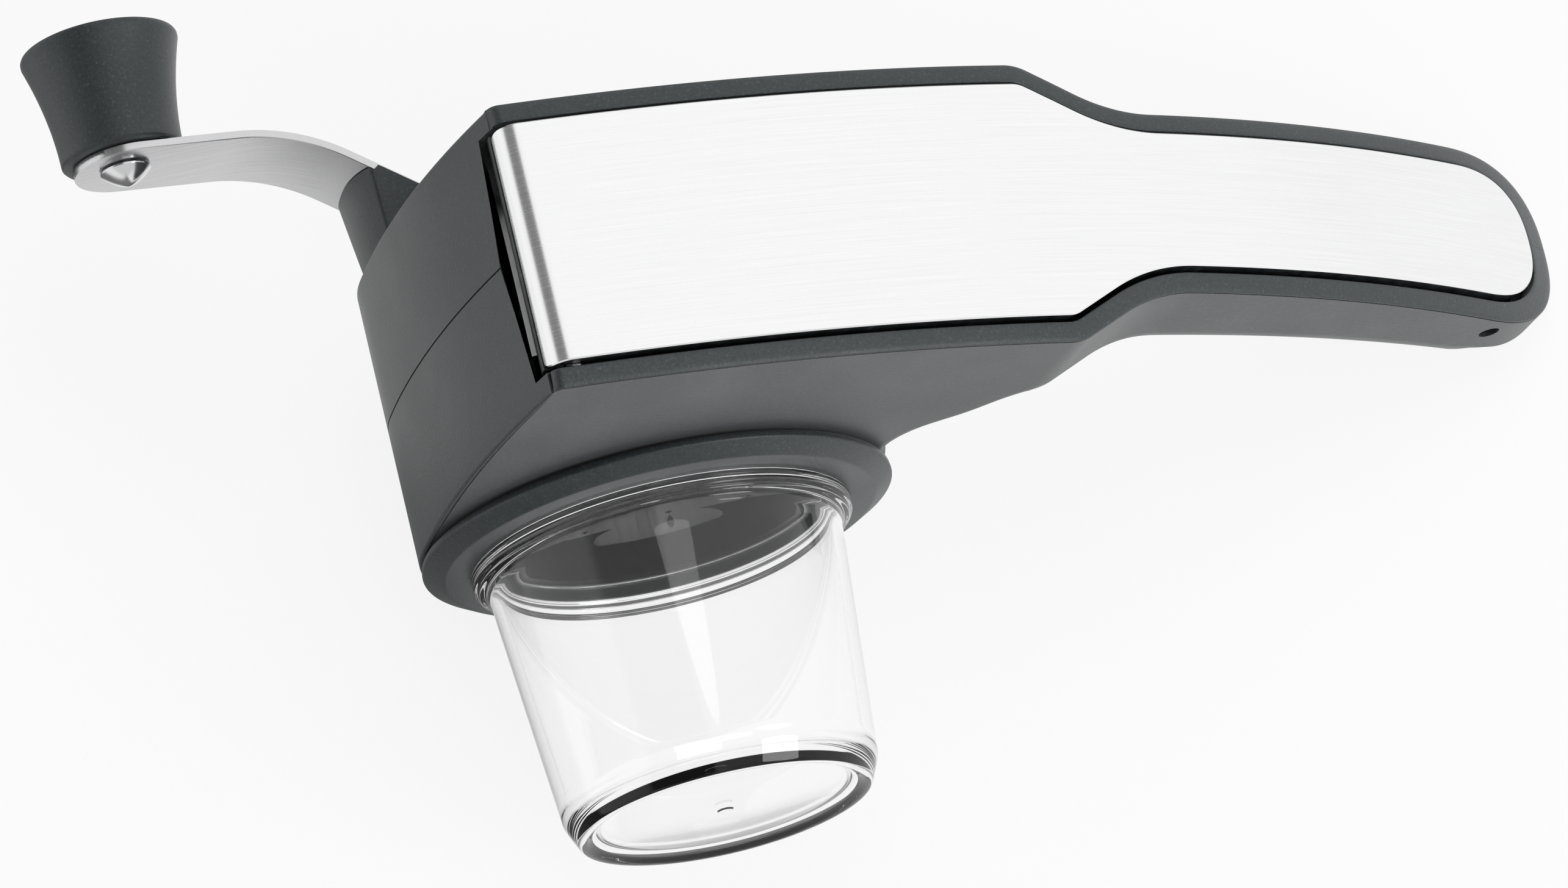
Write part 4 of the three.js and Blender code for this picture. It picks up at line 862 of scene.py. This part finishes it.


# the table: white for the camera and seen through the jar; a reflection sees more of its shadows, and a band
# of painted shade
#  on the left, near the object, which only reflections see
def groundPlane():
    size = 6.0
    mesh = bpy.data.meshes.new("tableTop")
    corners = [(-size, -size, 0), (size, -size, 0), (size, size, 0), (-size, size, 0)]
    mesh.from_pydata(corners, [], [(0, 1, 2, 3)])
    floor = bpy.data.objects.new("tableTop", mesh)
    bpy.context.scene.collection.objects.link(floor)
    material, tree, shader = newMaterial("paleTable")
    shader.inputs["Base Color"].default_value = (studio["floorTone"],) * 3 + (1,)
    shader.inputs["Roughness"].default_value = 0.9
    light = tree.nodes.new("ShaderNodeEmission")
    light.inputs["Color"].default_value = (1, 1, 1, 1)
    path = tree.nodes.new("ShaderNodeLightPath")
    coordinates = tree.nodes.new("ShaderNodeTexCoord")
    place = tree.nodes.new("ShaderNodeSeparateXYZ")
    tree.links.new(coordinates.outputs["Object"], place.inputs[0])
    # painted shade: reflections of the table turn dark in a band on its left near the object, except a strip
    # just beside it
    b = studio["shadeBand"]
    outside = maths(tree, "MAXIMUM", mapped(tree, place.outputs["X"], b[0], b[1], 1, studio["shadeBandLevel"]),
                    mapped(tree, place.outputs["X"], b[2], b[3], studio["shadeBandLevel"], 1))
    beside = maths(tree, "MULTIPLY", mapped(tree, place.outputs["Y"], *studio["shadeBandSide"]),
                   mapped(tree, place.outputs["X"], *studio["shadeBandEnd"]))
    outside = maths(tree, "MAXIMUM", outside, beside)
    seen = maths(tree, "MAXIMUM", path.outputs["Is Camera Ray"], path.outputs["Is Transmission Ray"])
    tree.links.new(maths(tree, "MAXIMUM", seen, outside), light.inputs["Strength"])
    shown = maths(tree, "MULTIPLY", path.outputs["Is Camera Ray"], studio["shownShare"])
    shown = maths(tree, "MAXIMUM", shown, path.outputs["Is Transmission Ray"])
    mirrored = maths(tree, "MULTIPLY", path.outputs["Is Glossy Ray"], studio["mirrorShare"])
    mix = tree.nodes.new("ShaderNodeMixShader")
    output = next(n for n in tree.nodes if n.type == "OUTPUT_MATERIAL")
    tree.links.new(maths(tree, "MAXIMUM", shown, mirrored), mix.inputs["Fac"])
    tree.links.new(shader.outputs["BSDF"], mix.inputs[1])
    tree.links.new(light.outputs["Emission"], mix.inputs[2])
    tree.links.new(mix.outputs["Shader"], output.inputs["Surface"])
    mesh.materials.append(material)


# a round soft lamp that faces its target
def softLamp(name, place, target, size, power, mirrored=True):
    lamp = bpy.data.lights.new(name, "AREA")
    lamp.shape = "DISK"
    lamp.size = size
    lamp.energy = power
    lampObject = bpy.data.objects.new(name, lamp)
    lampObject.location = place
    lampObject.visible_glossy = mirrored
    lampObject.rotation_euler = (Vector(target) - Vector(place)).to_track_quat("-Z", "Y").to_euler()
    bpy.context.scene.collection.objects.link(lampObject)


# the studio round the table: white for the camera; reflections see it with a darker gap up on the left and
# a darker front, as between softboxes
def studioWorld():
    world = bpy.data.worlds.new("studio")
    bpy.context.scene.world = world
    world.use_nodes = True
    tree = world.node_tree
    background = tree.nodes["Background"]
    coordinates = tree.nodes.new("ShaderNodeTexCoord")
    split = tree.nodes.new("ShaderNodeSeparateXYZ")
    tree.links.new(coordinates.outputs["Generated"], split.inputs[0])
    x, y, z = split.outputs
    gap = maths(tree, "MULTIPLY", mapped(tree, x, -0.80, -0.70), mapped(tree, x, -0.10, -0.02, 1, 0))
    gap = maths(tree, "MULTIPLY", gap, mapped(tree, z, 0.3, 0.5))
    front = mapped(tree, y, -0.80, -0.30, 1, 0)
    reflected = maths(tree, "SUBTRACT", 1.0, maths(tree, "MULTIPLY", gap, 1 - studio["gapLevel"]))
    reflected = maths(tree, "SUBTRACT", reflected, maths(tree, "MULTIPLY", front, 1 - studio["frontLevel"]))
    reflected = maths(tree, "MAXIMUM", reflected, studio["gapLevel"])
    path = tree.nodes.new("ShaderNodeLightPath")
    level = maths(tree, "MULTIPLY", reflected, path.outputs["Is Glossy Ray"])
    level = maths(tree, "MAXIMUM", level, path.outputs["Is Camera Ray"])
    level = maths(tree, "MAXIMUM", level, path.outputs["Is Transmission Ray"])
    diffuse = maths(tree, "MULTIPLY", path.outputs["Is Diffuse Ray"],
                    mapped(tree, x, -0.7, 0.3, studio["skyLeft"], studio["skyLevel"]))
    tree.links.new(maths(tree, "MAXIMUM", level, diffuse), background.inputs["Strength"])
    background.inputs["Color"].default_value = (1, 1, 1, 1)


groundPlane()
studioWorld()
softLamp("keyLamp", (1.1, -0.9, 1.0), (0, 0, 0.05), 0.8, 8)
softLamp("fillLamp", (0.2, -1.2, 0.9), (0, 0, 0.05), 0.8, 3, False)
softLamp("topLamp", (0.1, 0.5, 1.6), (0, 0, 0.05), 1.0, 6, False)

camera = {"target": (-0.014556, -0.012487, 0.040042), "distance": 1.89016, "azimuth": 14.0287,
          "elevation": 71.8633, "roll": 1.0435, "lens": 239.44}
# stands back from the target by the distance, at its azimuth and elevation, and rolls about its view
def placeCamera():
    c = camera
    a, e = radians(c["azimuth"]), radians(c["elevation"])
    back = Vector((sin(a) * cos(e) * -1, -cos(a) * cos(e), sin(e)))
    data = bpy.data.cameras.new("camera")
    data.sensor_width = 36
    data.lens = c["lens"]
    data.clip_start, data.clip_end = 0.05, 20
    view = bpy.data.objects.new("camera", data)
    view.location = Vector(c["target"]) + back * c["distance"]
    turn = (-back).to_track_quat("-Z", "Y").to_matrix().to_4x4() @ Matrix.Rotation(radians(c["roll"]), 4, "Z")
    view.rotation_euler = turn.to_euler()
    bpy.context.scene.collection.objects.link(view)
    bpy.context.scene.camera = view
placeCamera()
bpy.context.scene.view_settings.view_transform = "Standard"
print("camera and lamps set")
